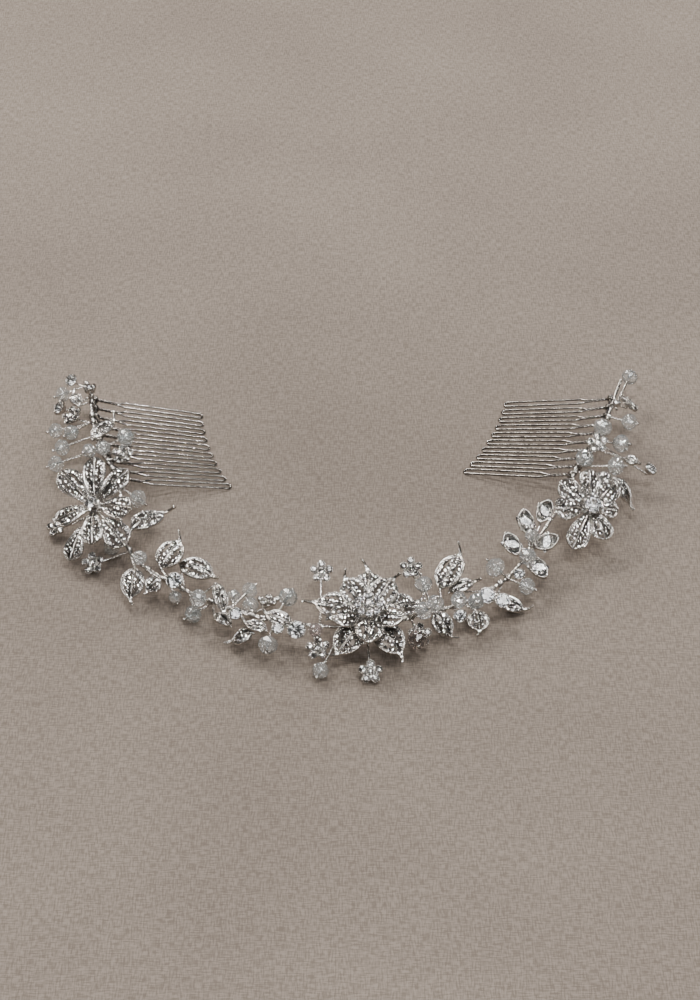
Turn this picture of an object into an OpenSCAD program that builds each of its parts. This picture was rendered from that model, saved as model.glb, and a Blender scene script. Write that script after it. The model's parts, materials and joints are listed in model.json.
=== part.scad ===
// Bridal hair garland: a vine of wire, pave leaves, rosettes, cut stones and
// crystal beads, lying flat in a U, with a wire comb under each end.
// Millimetres, +Z up, origin under the middle of the piece on the table.
// The open side of the U points to +Y.

/* [Vine] */
// Diameter of the core wire
stem_d = 1.2; // [1:0.1:1.4]
// Diameter of the stalks and bead wires
wire_d = 0.8; // [0.7:0.05:0.9]
// Spacing of the windings along the core wire
station_step = 8; // [7.8:0.1:8.2]
// Length of one winding
winding_len = 1.6; // [1.2:0.1:1.8]
// Thickness of a winding's wire
winding_t = 0.7; // [0.5:0.05:0.8]

/* [Combs] */
// Number of looped teeth on each comb
tooth_count = 10; // [8:1:10]
// Distance from one tooth to the next
tooth_pitch = 5.5; // [5:0.1:5.6]
// Wire of the teeth
tooth_wire_d = 0.8; // [0.6:0.05:0.9]
// Distance between the two legs of one tooth
leg_gap = 2.6; // [2.2:0.1:2.8]
// Length of a tooth from its kink to its round end
tooth_len = 32; // [28:1:34]
// Length of the twisted neck
neck_len = 9; // [8:0.5:10]
// Diameter of the twisted neck
neck_d = 1.5; // [1.3:0.1:1.6]
// Diameter of the comb's back wire
spine_d = 1.6; // [1.4:0.1:1.8]
// How far the back wire bulges outwards
spine_sag = 2.5; // [1.5:0.1:3]
// Height of the back wire above the table
spine_z = 9.5; // [9:0.1:10]
// Height of the kink where a tooth leaves its neck
kink_z = 7; // [6:0.1:7.5]
// How many degrees the outermost teeth turn towards the middle
tooth_converge = 4; // [0:0.5:5]

/* [Leaves] */
// Thickness of a leaf's plate
leaf_t = 0.8; // [0.6:0.05:1]
// Width of the raised rim
rim_w = 0.6; // [0.5:0.05:0.8]
// Height of rim and vein over the stone bed
rim_h = 0.35; // [0.2:0.05:0.5]
// Thickness of the curled wire tip
tip_d = 0.8; // [0.6:0.05:0.9]

/* [Stones] */
// Diameter of a rosette's stones
rosette_stone_d = 2.4; // [2:0.05:2.45]
// Radius of the ring of stones in a rosette
rosette_ring_r = 2.8; // [2.75:0.05:2.95]
// Clearance round every stone
stone_fit = 0.15; // [0.13:0.01:0.17]
// Number of sides of a cut stone
stone_sides = 8; // [8:1:10]

/* [Beads] */
// Number of facets round a crystal bead
bead_sides = 10; // [10:1:12]
// Bore of a bead
bead_bore_d = 1.1; // [1.05:0.05:1.2]

/* [Main flower] */
// Radius of the tips of the lower petals
lower_tip_r = 22; // [20:0.5:23]
// Radius of the tips of the upper petals
upper_tip_r = 17; // [15:0.5:18]
// Width of the lower petals
lower_petal_w = 10.5; // [9:0.5:11]
// Width of the upper petals
upper_petal_w = 10; // [9:0.5:11]
// Radius of the ring of stones round its centre
stamen_ring_r = 3.7; // [3.6:0.05:3.8]
// Diameter of the stones in that ring
stamen_stone_d = 2.3; // [2:0.05:2.4]
// Diameter of the centre stone
stamen_centre_d = 3.6; // [3.2:0.1:3.8]

/* [Hidden] */
$fn = 32;
metal = "#c9c7c4";
steel = "#a9a6a3";
glass = "#dfe3e6";
gem = "#eef1f4";
up = [0, 0, 1];
fit = 0.15;
collar_d = stem_d + 2 * fit + 2 * winding_t;
rings_per_step = 2;

// Route of the core wire from the left end round the U to the right end
stem_route = [
    [-102, 74, 12.5], [-99, 66, 12.5], [-97.5, 53.5, 12.5], [-95, 41.5, 12.5],
    [-91, 29.5, 12.5], [-86, 18, 12.5], [-83, 5, 11], [-82, -9, 9.5],
    [-77, -23, 8.5], [-66, -34, 8], [-48, -46, 7.5], [-28, -54.5, 7],
    [-8, -57.5, 6.5], [6.5, -57, 6], [24, -52, 6.5], [42, -44.5, 7],
    [55, -34, 7.5], [64, -20, 8], [72, -5, 9], [80, 9, 11],
    [83, 20.5, 12.5], [89, 31.5, 12.5], [94, 42.5, 12.5], [98.5, 54.5, 12.5],
    [102, 67, 12.5], [104.5, 75, 12.5]
];

// Combs: name, middle of the back wire, square to it, places of the bindings, slant of the teeth
combs = [
    ["left_comb", [-91, 42.5], 15.5, [11, -11, -22], -9.5],
    ["right_comb", [90.5, 44], 158, [16.5, -5.5], 6.5]
];

// Leaves: name, base, heading, rise, roll, length, width, winding moved by
leaves = [
    ["left_leaf_1", [-95.5, 33.5, 16.5], 60, -5, 0, 17, 6.5, 0],
    ["left_leaf_2", [-102.9, 57, 14], 112, 10, 0, 8, 5, 0],
    ["left_leaf_3", [-78.2, -11.6, 11.2], 44, -6, 0, 18.5, 9, 1],
    ["left_leaf_4", [-75.5, -31, 10], 261, -32, 0, 14, 8.5, -1],
    ["left_leaf_5", [-66.85, -35.65, 9.4], 217, -35, 0, 7.5, 7.5, -1],
    ["left_leaf_6", [-66.5, -31, 10], 56, 19, 0, 15, 10, 0],
    ["left_leaf_7", [-60, -28, 9.5], -23, -8, 0, 16, 10, 1],
    ["left_leaf_8", [-46.5, -43.5, 14], -72, -24, 0, 14, 5, -1],
    ["left_leaf_9", [-41, -56.5, 6], 137, 0, 0, 10, 5, -1],
    ["left_leaf_10", [-33, -62, 8], 174, -34, 0, 11, 8, -1],
    ["left_leaf_11", [-28.5, -62.5, 9.5], 155, 0, 0, 10, 5.5, 0],
    ["left_leaf_12", [-20, -59.5, 9.3], 160, 12, 0, 12, 7, 0],
    ["right_leaf_1", [31.3, -42.2, 10.2], 57, 22, 0, 18, 9.5, 0],
    ["right_leaf_2", [34.5, -42, 8.5], 22, 9, 0, 12, 6, 1],
    ["right_leaf_3", [29, -54, 10], -48, -36, 0, 12, 8, 0],
    ["right_leaf_4", [44, -49.5, 6.5], -83, -30, 0, 9, 8, 0],
    ["right_leaf_5", [50.5, -41.5, 4.5], -15, -14, 0, 13.5, 7.5, 1],
    ["right_leaf_6", [94.5, 12.5, 17], 225, -5, 0, 11, 6.5, -1],
    ["right_leaf_7", [96.5, 14, 14], -40, -48, 0, 13.5, 6, 0],
    ["right_leaf_8", [101.8, 28.3, 11.7], -24, -10, 0, 6.5, 5, 0]
];

// Rosettes of each stretch: place of the centre, lean, facing
rosettes = [
    [
        [[-106.5, -2, 4.5], 35, 215], [[-91.5, -23, 5], 45, 250],
        [[-84, 27, 14.5], 20, 270], [[-105, 51, 14], 30, 200]
    ],
    [
        [[-28.5, -42, 5], 20, 90], [[-10, -33, 10], 30, 270],
        [[-11, -66.5, 5], 35, 260]
    ],
    [
        [[7, -77, 3.8], 35, 270], [[21.5, -30, 9], 25, 270],
        [[24, -61, 6], 35, 270]
    ],
    [
        [[106, 56, 16], 40, 20], [[91.5, 30.5, 17], 25, 250]
    ]
];

// Single cut stones in cups: place, lean, facing, diameter of the stone
chatons = [
    [
        [[-107.5, 75.5, 12], 40, 230, 4.2], [[-99, 64.2, 17.2], 25, 100, 4.5],
        [[-111, 61, 10], 50, 200, 4.6]
    ],
    [
        [[-61, -41, 13], 30, 270, 5.2], [[-39.3, -55.3, 10.6], 25, 270, 4],
        [[-24.6, -64.2, 11.9], 25, 270, 3.5], [[-18.2, -65, 12], 35, 270, 5.4]
    ],
    [
        [[47.5, -45.5, 10], 30, 270, 5.2], [[38, -53.6, 8], 35, 270, 4],
        [[53, -47.5, 9.5], 30, 270, 4.6], [[59.5, -33, 9], 20, 270, 3.6]
    ],
    [
        [[111.5, 25.3, 9], 30, 340, 4], [[101, 56.5, 16], 20, 90, 3]
    ]
];

// Crystal beads on wires: place of the middle, diameter, winding moved by
beads = [
    [
        [[-110.5, 70.5, 9], 6], [[-111, 48, 9], 6], [[-104.5, 43, 12], 6],
        [[-107.5, 36.5, 10], 6.4], [[-109.5, 30.5, 7], 6.4], [[-83.5, 36.5, 15], 7],
        [[-96.5, 29, 14.5], 5.6], [[-91, 27, 17.5], 6], [[-77.5, 8.5, 8.5], 7],
        [[-85.5, -13.5, 4.4], 6.4], [[-74, -28.5, 12.5], 5.4]
    ],
    [
        [[-61, -42.5, 6.5], 4.8], [[-52.5, -48.5, 11.5], 6.4], [[-54.5, -48.5, 4], 6.4],
        [[-40.6, -42.5, 7], 5], [[-35, -40.5, 8], 5.8], [[-34.6, -46.3, 6.2], 6],
        [[-28, -66, 6], 7], [[-11.8, -64, 11], 4.8], [[-10, -76, 3.5], 6, 1],
        [[-21.5, -44, 8], 7]
    ],
    [
        [[22.9, -67.2, 9.2], 7], [[25.5, -44, 14], 6.4], [[25.2, -56.4, 12.9], 6.4],
        [[29.5, -51.5, 12], 6.2], [[37.5, -50.5, 12.5], 5.8], [[43.5, -50, 11.5], 5.8],
        [[51.2, -30, 9.3], 7.4], [[62, -37.5, 7], 6.4]
    ],
    [
        [[97.5, 19.5, 15], 7], [[100.5, 32, 15.5], 7], [[94, 38.5, 18], 7.4],
        [[86, 21, 17.5], 7], [[105, 47, 14], 6.4], [[108, 77.5, 12], 6.4]
    ]
];

// Names of the four stretches, in the order of the tables
stretches = ["left_end", "left_vine", "right_vine", "right_end"];

// Main flower: place, lean, facing
flower_at = [6.5, -58, 14];
flower_lean = 15;
flower_face = 270;
// Lower petals: angle, tip radius as a share
lower_petals = [[90, 1], [18, 0.95], [-54, 1], [-126, 1], [162, 1.05]];
upper_petals = [[54, 1], [126, 1], [198, 1], [270, 1], [342, 0.9]];

// Side flowers: name, place, lean, facing, diameter of the centre stone,
// then petals: angle, length, width, rise, radius of the base
side_flowers = [
    ["left_flower", [-92.5, -5, 18], 25, 225, 4.5, [
        [128, 17, 9.5, 15, 2], [80, 16, 9, 24, 2], [33, 16, 9, 14, 2], [-20, 14, 9, 5, 2],
        [-92, 14, 8.5, 0, 2], [195, 13, 8, 5, 2], [242, 13, 8, -12, 9], [-58, 14, 10, -12, 7]
    ]],
    ["right_flower", [87, -5, 17], 30, 300, 6, [
        [150, 12.5, 9, 5, 2], [192, 12, 9, 0, 2], [250, 15.5, 8.5, -8, 2],
        [296, 11.5, 8.5, 5, 2], [50, 11.5, 9, 10, 2], [98, 12, 8, 15, 2], [0, 8, 7, 8, 2]
    ]]
];

// Marquise sprig: place, lean, facing, then stones: place of the middle, turn
sprig_at = [64, -22, 11];
sprig_lean = 30;
sprig_face = 270;
marquises = [[[-6.7, 1.7], 117], [[-1.5, 10.1], 98], [[5.7, 2.5], 24], [[2.4, -7], -55], [[5.3, 14], 64]];
// Beads on pins in front of the sprig: place in its own frame, diameter
sprig_beads = [[[0.3, 3.9, 3.8], 5.4], [[-1.4, -4.6, 4.5], 6.4]];
marquise_len = 8;
marquise_w = 4.8;

function lerp(a, b, t) = a + (b - a) * t;
function unit(v) = v / norm(v);
function polar(r, a) = [r * cos(a), r * sin(a), 0];

// Direction in which a leaning piece faces
function facing(lean, face) = [sin(lean) * cos(face), sin(lean) * sin(face), cos(lean)];

// Point between p1 and p2 on a smooth curve through four points
function curve_point(p0, p1, p2, p3, t) =
    0.5 * (2 * p1 + (p2 - p0) * t + (2 * p0 - 5 * p1 + 4 * p2 - p3) * t * t
        + (3 * p1 - p0 - 3 * p2 + p3) * t * t * t);

function route_at(i) = stem_route[max(0, min(len(stem_route) - 1, i))];

stem_path = [
    for (i = [0:len(stem_route) - 2], k = [0:rings_per_step - 1])
        curve_point(route_at(i - 1), route_at(i), route_at(i + 1), route_at(i + 2), k / rings_per_step),
    stem_route[len(stem_route) - 1]
];

// Length along the path up to each of its points
path_len = [
    for (i = 0, s = 0; i < len(stem_path);
        s = s + norm(stem_path[min(i + 1, len(stem_path) - 1)] - stem_path[i]), i = i + 1) s
];

// Index of the path point before the length s
function path_index(s) = max([for (i = [0:len(path_len) - 2]) path_len[i] <= s ? i : 0]);

function path_at(s) = let (i = path_index(s))
    lerp(stem_path[i], stem_path[i + 1], (s - path_len[i]) / (path_len[i + 1] - path_len[i]));

function path_dir(s) = unit(path_at(s + 0.6) - path_at(s - 0.6));

station_count = floor((path_len[len(path_len) - 1] - 3) / station_step);
function station_s(i) = 2 + i * station_step;

// Index of the winding that lies nearest to a point
function nearest(p, shift) =
    let (d = [for (i = [0:station_count - 1]) norm(path_at(station_s(i) + shift) - p)])
    [for (i = [0:station_count - 1]) if (d[i] == min(d)) i][0];

// Where a stalk to a point leaves the winding at the length s
function stalk_start(s, target) =
    let (p = path_at(s), d = path_dir(s), v = target - p, side = v - d * (v * d))
    p + unit(side) * (collar_d / 2 - 0.2);

// Moves the tables' frame so that the origin lies under the middle of the whole piece
module seated() {
    translate([0.59, -0.71, 0])
        children();
}

// Puts a piece at a place with its face leaning that way and its own X to the right
module place(at, lean, face) {
    translate(at)
        rotate([0, 0, face])
            rotate([0, lean, 0])
                rotate([0, 0, -face])
                    children();
}

module rod(a, b, d) {
    v = b - a;
    translate(a)
        rotate([0, acos(v[2] / norm(v)), atan2(v[1], v[0])])
            cylinder(h = norm(v), d = d);
}

// Winding of fine wire round the core wire
module collar(s) {
    d = path_dir(s);
    translate(path_at(s))
        rotate([0, acos(d[2]), atan2(d[1], d[0])])
            difference() {
                cylinder(h = winding_len, d = collar_d, center = true);
                cylinder(h = winding_len + 1, d = stem_d + 2 * fit, center = true);
            }
}

// Tube of round section along a path
module sweep(path, d, sides) {
    n = len(path);
    dirs = [for (i = [0:n - 1]) unit(path[min(i + 1, n - 1)] - path[max(i - 1, 0)])];
    points = [
        for (i = [0:n - 1], k = [0:sides - 1])
            let (side = unit(cross(dirs[i], up)), top = cross(side, dirs[i]), a = 360 * k / sides)
            path[i] + (side * cos(a) + top * sin(a)) * d / 2
    ];
    walls = [
        for (i = [0:n - 2], k = [0:sides - 1])
            let (a = i * sides + k, b = i * sides + (k + 1) % sides)
            [a, b, b + sides, a + sides]
    ];
    first = [for (k = [0:sides - 1]) sides - 1 - k];
    last = [for (k = [0:sides - 1]) (n - 1) * sides + k];
    polyhedron(points = points, faces = concat(walls, [first, last]));
}

// Pointed oval made of two arcs, from the origin along X
module pointed_oval(length, width, height) {
    h = width / 2;
    r = (length * length / 4 + h * h) / (2 * h);
    intersection() {
        translate([length / 2, h - r, -height / 2])
            cylinder(h = height, r = r);
        translate([length / 2, r - h, -height / 2])
            cylinder(h = height, r = r);
    }
}

// Sections of a leaf from its base to its curled tip:
// share of the length, of the half width, and of the length for the height
leaf_sections = [
    [0, 0.1, 0], [0.1, 0.62, 0.05], [0.24, 0.93, 0.09], [0.4, 1, 0.1], [0.56, 0.92, 0.09],
    [0.69, 0.66, 0.05], [0.79, 0.22, 0.02], [0.9, 0.1, 0.05], [1, 0.05, 0.16]
];

// Sections of a side flower's petal, narrow at its base and round at its end
petal_sections = [
    [0, 0.16, 0], [0.1, 0.38, 0.03], [0.25, 0.58, 0.06], [0.42, 0.82, 0.08], [0.58, 0.97, 0.08],
    [0.72, 1, 0.06], [0.85, 0.86, 0.04], [0.95, 0.5, 0.02], [1, 0.12, 0.01]
];

// One section of a leaf: rim, bed, vein, bed and rim, then back along the underside
function leaf_ring(row, length, width) =
    let (
        x = row[0] * length,
        y = max(row[1] * width / 2, tip_d / 2),
        z = row[2] * length,
        rise = rim_h * min(1, y / width * 3),
        droop = y * y / width * 0.35
    )
    [
        [x, -y, z + rise - droop], [x, -0.74 * y, z - droop / 2], [x, 0, z + rise],
        [x, 0.74 * y, z - droop / 2], [x, y, z + rise - droop],
        [x, y, z - leaf_t - droop], [x, 0, z - leaf_t], [x, -y, z - leaf_t - droop]
    ];

// Leaf from the origin along X: bed for the stones, raised rim and vein, end as in the sections
module leaf(length, width, sections) {
    n = len(sections);
    sides = 8;
    points = [for (row = sections) each leaf_ring(row, length, width)];
    walls = [
        for (i = [0:n - 2], k = [0:sides - 1])
            let (a = i * sides + k, b = i * sides + (k + 1) % sides)
            each [[a, b, a + sides], [b, b + sides, a + sides]]
    ];
    polyhedron(points = points, faces = concat(walls, cap(0, true), cap((n - 1) * sides, false)));
}

// Flat end of a leaf, in strips so that its hollow outline stays inside
function cap(first, flip) =
    let (strips = [[0, 1, 7], [1, 2, 6], [1, 6, 7], [2, 3, 6], [3, 5, 6], [3, 4, 5]])
    [for (t = strips) [for (k = flip ? [2, 1, 0] : [0, 1, 2]) first + t[k]]];

module leaf_piece(row) {
    s = station_s(nearest(row[1], station_step / 2) + row[7]) + station_step / 2;
    color(metal) {
        translate(row[1])
            rotate([0, 0, row[2]])
                rotate([0, -row[3], 0])
                    rotate([row[4], 0, 0])
                        leaf(row[5], row[6], leaf_sections);
        collar(s);
        rod(stalk_start(s, row[1]), row[1] + [0, 0, -leaf_t / 2], wire_d);
        translate(row[1] + [0, 0, -leaf_t / 2])
            sphere(d = wire_d + 0.4, $fn = 6);
    }
}

// Cut stone with its girdle at the origin: table, crown and pavilion
module cut_stone(d) {
    n = stone_sides;
    ring = [for (k = [0:n - 1]) 360 * k / n];
    points = concat(
        [for (a = ring) polar(d / 2, a)],
        [for (a = ring) polar(0.28 * d, a) + [0, 0, 0.2 * d]],
        [[0, 0, -0.42 * d]]
    );
    pavilion = [for (k = [0:n - 1]) [2 * n, k, (k + 1) % n]];
    crown = [for (k = [0:n - 1]) [n + k, n + (k + 1) % n, (k + 1) % n, k]];
    table = [for (k = [0:n - 1]) 2 * n - 1 - k];
    color(gem)
        polyhedron(points = points, faces = concat(pavilion, crown, [table]));
}

// Hollow that takes a stone with clearance all round
module stone_pocket(d) {
    depth = 0.42 * d + stone_fit;
    translate([0, 0, -depth])
        cylinder(h = depth, d1 = 0.3, d2 = d + 2 * stone_fit);
    cylinder(h = d, d = d + 2 * stone_fit);
}

// Length of the post behind a cup or rosette
post_len = 1;

// Cup of one cut stone, with four claws
module cup(d) {
    outer = d + 2 * stone_fit + 0.7;
    depth = 0.42 * d + stone_fit + 0.5;
    difference() {
        union() {
            translate([0, 0, -depth])
                cylinder(h = depth + 0.1, d1 = 0.6 * outer, d2 = outer);
            translate([0, 0, -depth - post_len])
                cylinder(h = post_len + 0.1, d = wire_d + 0.2);
            for (a = [45:90:315])
                translate(polar(outer / 2 - 0.25, a) + [0, 0, -0.3])
                    cylinder(h = 0.3 + 0.2 * d, d = 0.6);
        }
        stone_pocket(d);
    }
}

function cup_back(row) = row[0] - facing(row[1], row[2]) * (0.42 * row[3] + stone_fit + 0.5 + post_len);

// Places of the six stones of a rosette
rosette_spots = concat([[0, 0, 0]], [for (k = [0:4]) polar(rosette_ring_r, 90 + 72 * k)]);
rosette_depth = 0.42 * rosette_stone_d + stone_fit + 0.3;

module rosette_plate() {
    difference() {
        union() {
            for (p = rosette_spots)
                translate(p - [0, 0, rosette_depth])
                    cylinder(h = rosette_depth + 0.05, d = rosette_stone_d + 2 * stone_fit + 0.2);
            translate([0, 0, -rosette_depth])
                cylinder(h = 0.5, r = rosette_ring_r);
            translate([0, 0, -rosette_depth - post_len])
                cylinder(h = post_len + 0.2, d = wire_d + 0.2);
        }
        for (p = rosette_spots)
            translate(p)
                stone_pocket(rosette_stone_d);
    }
}

module rosette_stones() {
    for (p = rosette_spots)
        translate(p)
            cut_stone(rosette_stone_d);
}

function rosette_back(row) = row[0] - facing(row[1], row[2]) * (rosette_depth + post_len);

bead_share = 0.88;

// Crystal bead with its bore along Z
module bead(d) {
    h = bead_share * d / 2;
    b = bead_bore_d / 2;
    color(glass)
        rotate_extrude($fn = bead_sides)
            polygon([[b, -h], [d / 2, -0.14 * d], [d / 2, 0.14 * d], [b, h]]);
}

// Winding that carries a bead
function bead_station(row) = nearest(row[0], 0) + (len(row) > 2 ? row[2] : 0);

function bead_start(row) = stalk_start(station_s(bead_station(row)), row[0]);

// Wire from a foot through a bead to the small ball that keeps it on
module pin(foot, row) {
    end = row[0] + unit(row[0] - foot) * (bead_share * row[1] / 2 + 0.75);
    rod(foot, end, wire_d);
    translate(end)
        sphere(d = 1.3);
}

// Bead threaded on the line from a foot to its middle
module bead_between(foot, row) {
    v = row[0] - foot;
    translate(row[0])
        rotate([0, acos(v[2] / norm(v)), atan2(v[1], v[0])])
            bead(row[1]);
}

module string_of_beads(k) {
    for (r = beads[k])
        bead_between(bead_start(r), r);
}

// Stalk from the nearest winding to the foot of a post
module stalk(foot) {
    rod(stalk_start(station_s(nearest(foot, 0)), foot), foot, wire_d);
    translate(foot)
        sphere(d = wire_d + 0.3);
}

// Windings, stalks, cups and bead wires of one stretch
module twigs(k) {
    stations = concat(
        [for (r = rosettes[k]) nearest(rosette_back(r), 0)],
        [for (r = chatons[k]) nearest(cup_back(r), 0)],
        [for (r = beads[k]) bead_station(r)]
    );
    color(metal) {
        for (i = [0:station_count - 1])
            if (len(search(i, stations)) > 0)
                collar(station_s(i));
        for (r = rosettes[k]) {
            stalk(rosette_back(r));
            place(r[0], r[1], r[2])
                rosette_plate();
        }
        for (r = chatons[k]) {
            stalk(cup_back(r));
            place(r[0], r[1], r[2])
                cup(r[3]);
        }
        for (r = beads[k])
            pin(bead_start(r), r);
    }
}

module stones(k) {
    for (r = rosettes[k])
        place(r[0], r[1], r[2])
            rosette_stones();
    for (r = chatons[k])
        place(r[0], r[1], r[2])
            cut_stone(r[3]);
}

module stem() {
    color(metal)
        sweep(stem_path, stem_d, 6);
}

// Comb frame: origin under the middle of the back wire, teeth along X
module comb_frame(row) {
    translate([row[1][0], row[1][1], 0])
        rotate([0, 0, row[2]])
            children();
}

spine_half = tooth_pitch * tooth_count / 2 - 1;
spine_r = (spine_half * spine_half + spine_sag * spine_sag) / (2 * spine_sag);
// How far back the spine lies at a distance y from its middle
function spine_x(y) = -(sqrt(spine_r * spine_r - y * y) - (spine_r - spine_sag));

// Point of the vine's path that lies nearest to p
function stem_near(p) =
    let (d = [for (s = [1:0.5:path_len[len(path_len) - 1] - 1]) norm(path_at(s) - p)])
    1 + 0.5 * [for (i = [0:len(d) - 1]) if (d[i] == min(d)) i][0];

// Windings that tie a comb's back wire under the vine
module bindings(row) {
    color(metal)
        for (y = row[3]) {
            a = row[2];
            x = spine_x(y);
            low = [row[1][0] + x * cos(a) - y * sin(a), row[1][1] + x * sin(a) + y * cos(a), spine_z];
            s = stem_near(low);
            high = path_at(s);
            along = path_dir(s);
            reach = norm(high - low);
            translate(low)
                rotate([0, acos(along[2]), atan2(along[1], along[0])])
                    rotate([0, 0, binding_turn(high - low, along)])
                        linear_extrude(height = winding_len, center = true)
                            difference() {
                                loop_outline(reach, spine_d / 2 + fit + winding_t);
                                loop_outline(reach, spine_d / 2 + fit);
                            }
        }
}

// Angle from the local X to the direction v round the axis along
function binding_turn(v, along) =
    let (
        tilt = acos(along[2]),
        turn = atan2(along[1], along[0]),
        x_axis = [cos(tilt) * cos(turn), cos(tilt) * sin(turn), -sin(tilt)],
        y_axis = [-sin(turn), cos(turn), 0]
    )
    atan2(v * y_axis, v * x_axis);

// Long round outline round two wires that lie a distance apart
module loop_outline(reach, r) {
    circle(r = r, $fn = 12);
    translate([reach, 0])
        circle(r = r, $fn = 12);
    translate([0, -r * cos(15)])
        square([reach, 2 * r * cos(15)]);
}

module comb_spine(row) {
    swing = asin(spine_half / spine_r);
    color(steel)
        comb_frame(row)
            translate([spine_r - spine_sag, 0, spine_z])
                rotate([0, 0, 180 - swing])
                    rotate_extrude(angle = 2 * swing, $fn = 192)
                        translate([spine_r, 0])
                            circle(d = spine_d, $fn = 32);
}

// One tooth in the comb's frame: eye round the back wire, twisted neck, two legs, round end
module tooth(y, slant) {
    turn = slant - tooth_converge * y / spine_half;
    eye_d = spine_d + 2 * fit + 2 * winding_t;
    kink = [neck_len, 0, kink_z];
    fan = 3;
    tip_z = tooth_wire_d / 2 + leg_gap * 0.082;
    tip = [neck_len + tooth_len - leg_gap / 2, 0, tip_z];
    fan_end = lerp(kink, tip, fan / (tooth_len - leg_gap / 2));
    side = [0, leg_gap / 2, 0];
    root = [0.2, tooth_wire_d / 2 + 0.02, 0];
    loop = concat(
        [kink + root, fan_end + side, tip + side],
        [for (a = [45, 90, 135]) tip + side * cos(a) + unit(tip - kink) * sin(a) * leg_gap / 2],
        [tip - side, fan_end - side, kink + [root[0], -root[1], 0]]
    );
    translate([spine_x(y), y, 0]) {
        difference() {
            union() {
                translate([0, 0, spine_z])
                    rotate([90, 0, asin(y / spine_r) * -1])
                        cylinder(h = 2.2, d = eye_d, center = true);
                rotate([0, 0, turn])
                    rod([1, 0, spine_z], kink, neck_d);
            }
            translate([0, 0, spine_z])
                rotate([90, 0, asin(y / spine_r) * -1])
                    cylinder(h = 4, d = spine_d + 2 * fit, center = true);
        }
        rotate([0, 0, turn]) {
            translate(kink)
                sphere(d = neck_d + 0.1);
            sweep(loop, tooth_wire_d, 6);
        }
    }
}

module comb_teeth(row) {
    color(steel)
        comb_frame(row)
            for (i = [0:tooth_count - 1])
                tooth((i - (tooth_count - 1) / 2) * tooth_pitch, row[4]);
}

// Petals as spokes round the origin, long ones on a wire
module petals(rows, sections) {
    for (p = rows)
        rotate([0, 0, p[0]]) {
            translate([p[4], 0, 0])
                rotate([0, -p[3], 0])
                    leaf(p[1], p[2], sections);
            if (p[4] > 4)
                rod([1, 0, -1], [p[4] + 0.5, 0, -leaf_t / 2], wire_d + 0.2);
        }
}

post_d = 1.6;
lower_hub_z = -2;
upper_hub_z = 0;
hub_t = 1;
stamen_z = 4.4;

module in_flower() {
    place(flower_at, flower_lean, flower_face)
        children();
}

function flower_point(p) =
    let (n = facing(flower_lean, flower_face), right = [1, 0, 0], top = cross(n, right))
    flower_at + right * p[0] + top * p[1] + n * p[2];

module flower_lower_petals() {
    base = 3.5;
    rows = [for (p = lower_petals) [p[0], lower_tip_r * p[1] - base, lower_petal_w, -6, base]];
    hub_back = flower_point([0, 0, lower_hub_z - hub_t]);
    color(metal) {
        in_flower()
            difference() {
                union() {
                    translate([0, 0, lower_hub_z])
                        petals(rows, leaf_sections);
                    translate([0, 0, lower_hub_z - hub_t])
                        cylinder(h = hub_t, r = base + 1);
                }
                translate([0, 0, lower_hub_z - 3])
                    cylinder(h = 6, d = post_d + 2 * fit);
            }
        for (m = [-1, 1]) {
            foot = flower_point([3 * m, 0, lower_hub_z - hub_t + 0.2]);
            s = station_s(nearest(foot, station_step / 2)) + station_step / 2;
            if (m < 0 || nearest(foot, station_step / 2) != nearest(flower_point([-3, 0, 0]), station_step / 2)) {
                collar(s);
                rod(stalk_start(s, foot), foot, wire_d + 0.4);
            }
        }
    }
}

module flower_upper_petals() {
    base = 3.5;
    rows = [for (p = upper_petals) [p[0], upper_tip_r * p[1] - base, upper_petal_w, 15, base]];
    color(metal)
        in_flower()
            difference() {
                union() {
                    translate([0, 0, upper_hub_z])
                        petals(rows, leaf_sections);
                    translate([0, 0, upper_hub_z - hub_t])
                        cylinder(h = hub_t, r = base + 1);
                }
                translate([0, 0, upper_hub_z - 3])
                    cylinder(h = 6, d = post_d + 2 * fit);
            }
}

stamen_spots = [for (k = [0:7]) polar(stamen_ring_r, 45 * k)];

module flower_centre() {
    depth = 0.42 * stamen_centre_d + stone_fit + 0.3;
    color(metal)
        in_flower() {
            translate([0, 0, stamen_z])
                difference() {
                    union() {
                        translate([0, 0, -depth])
                            cylinder(h = depth, r1 = 2.6, r2 = stamen_ring_r);
                        for (p = stamen_spots)
                            translate(p - [0, 0, 1.5])
                                cylinder(h = 1.55, d = stamen_stone_d + 2 * stone_fit + 0.35);
                    }
                    stone_pocket(stamen_centre_d);
                    for (p = stamen_spots)
                        translate(p)
                            stone_pocket(stamen_stone_d);
                }
            translate([0, 0, lower_hub_z - hub_t - 0.9])
                cylinder(h = stamen_z - depth - lower_hub_z + hub_t + 1, d = post_d);
            translate([0, 0, lower_hub_z - hub_t - 0.95])
                cylinder(h = 0.8, d = post_d + 1.2);
        }
}

module flower_stones() {
    in_flower()
        translate([0, 0, stamen_z]) {
            cut_stone(stamen_centre_d);
            for (p = stamen_spots)
                translate(p)
                    cut_stone(stamen_stone_d);
        }
}

module side_flower(row) {
    hub_r = row[4] / 2 + 0.6;
    back = row[1] - facing(row[2], row[3]) * 3.4;
    s = station_s(nearest(back, station_step / 2)) + station_step / 2;
    color(metal) {
        place(row[1], row[2], row[3]) {
            difference() {
                union() {
                    translate([0, 0, -2.2])
                        petals(row[5], petal_sections);
                    translate([0, 0, -3.6])
                        cylinder(h = 1.8, r = hub_r);
                }
                translate([0, 0, 0.6])
                    stone_pocket(row[4]);
            }
            translate([0, 0, 0.6])
                cup(row[4]);
        }
        collar(s);
        rod(stalk_start(s, back), back, wire_d + 0.4);
    }
}

module side_flower_stone(row) {
    place(row[1], row[2], row[3])
        translate([0, 0, 0.6])
            cut_stone(row[4]);
}

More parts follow.
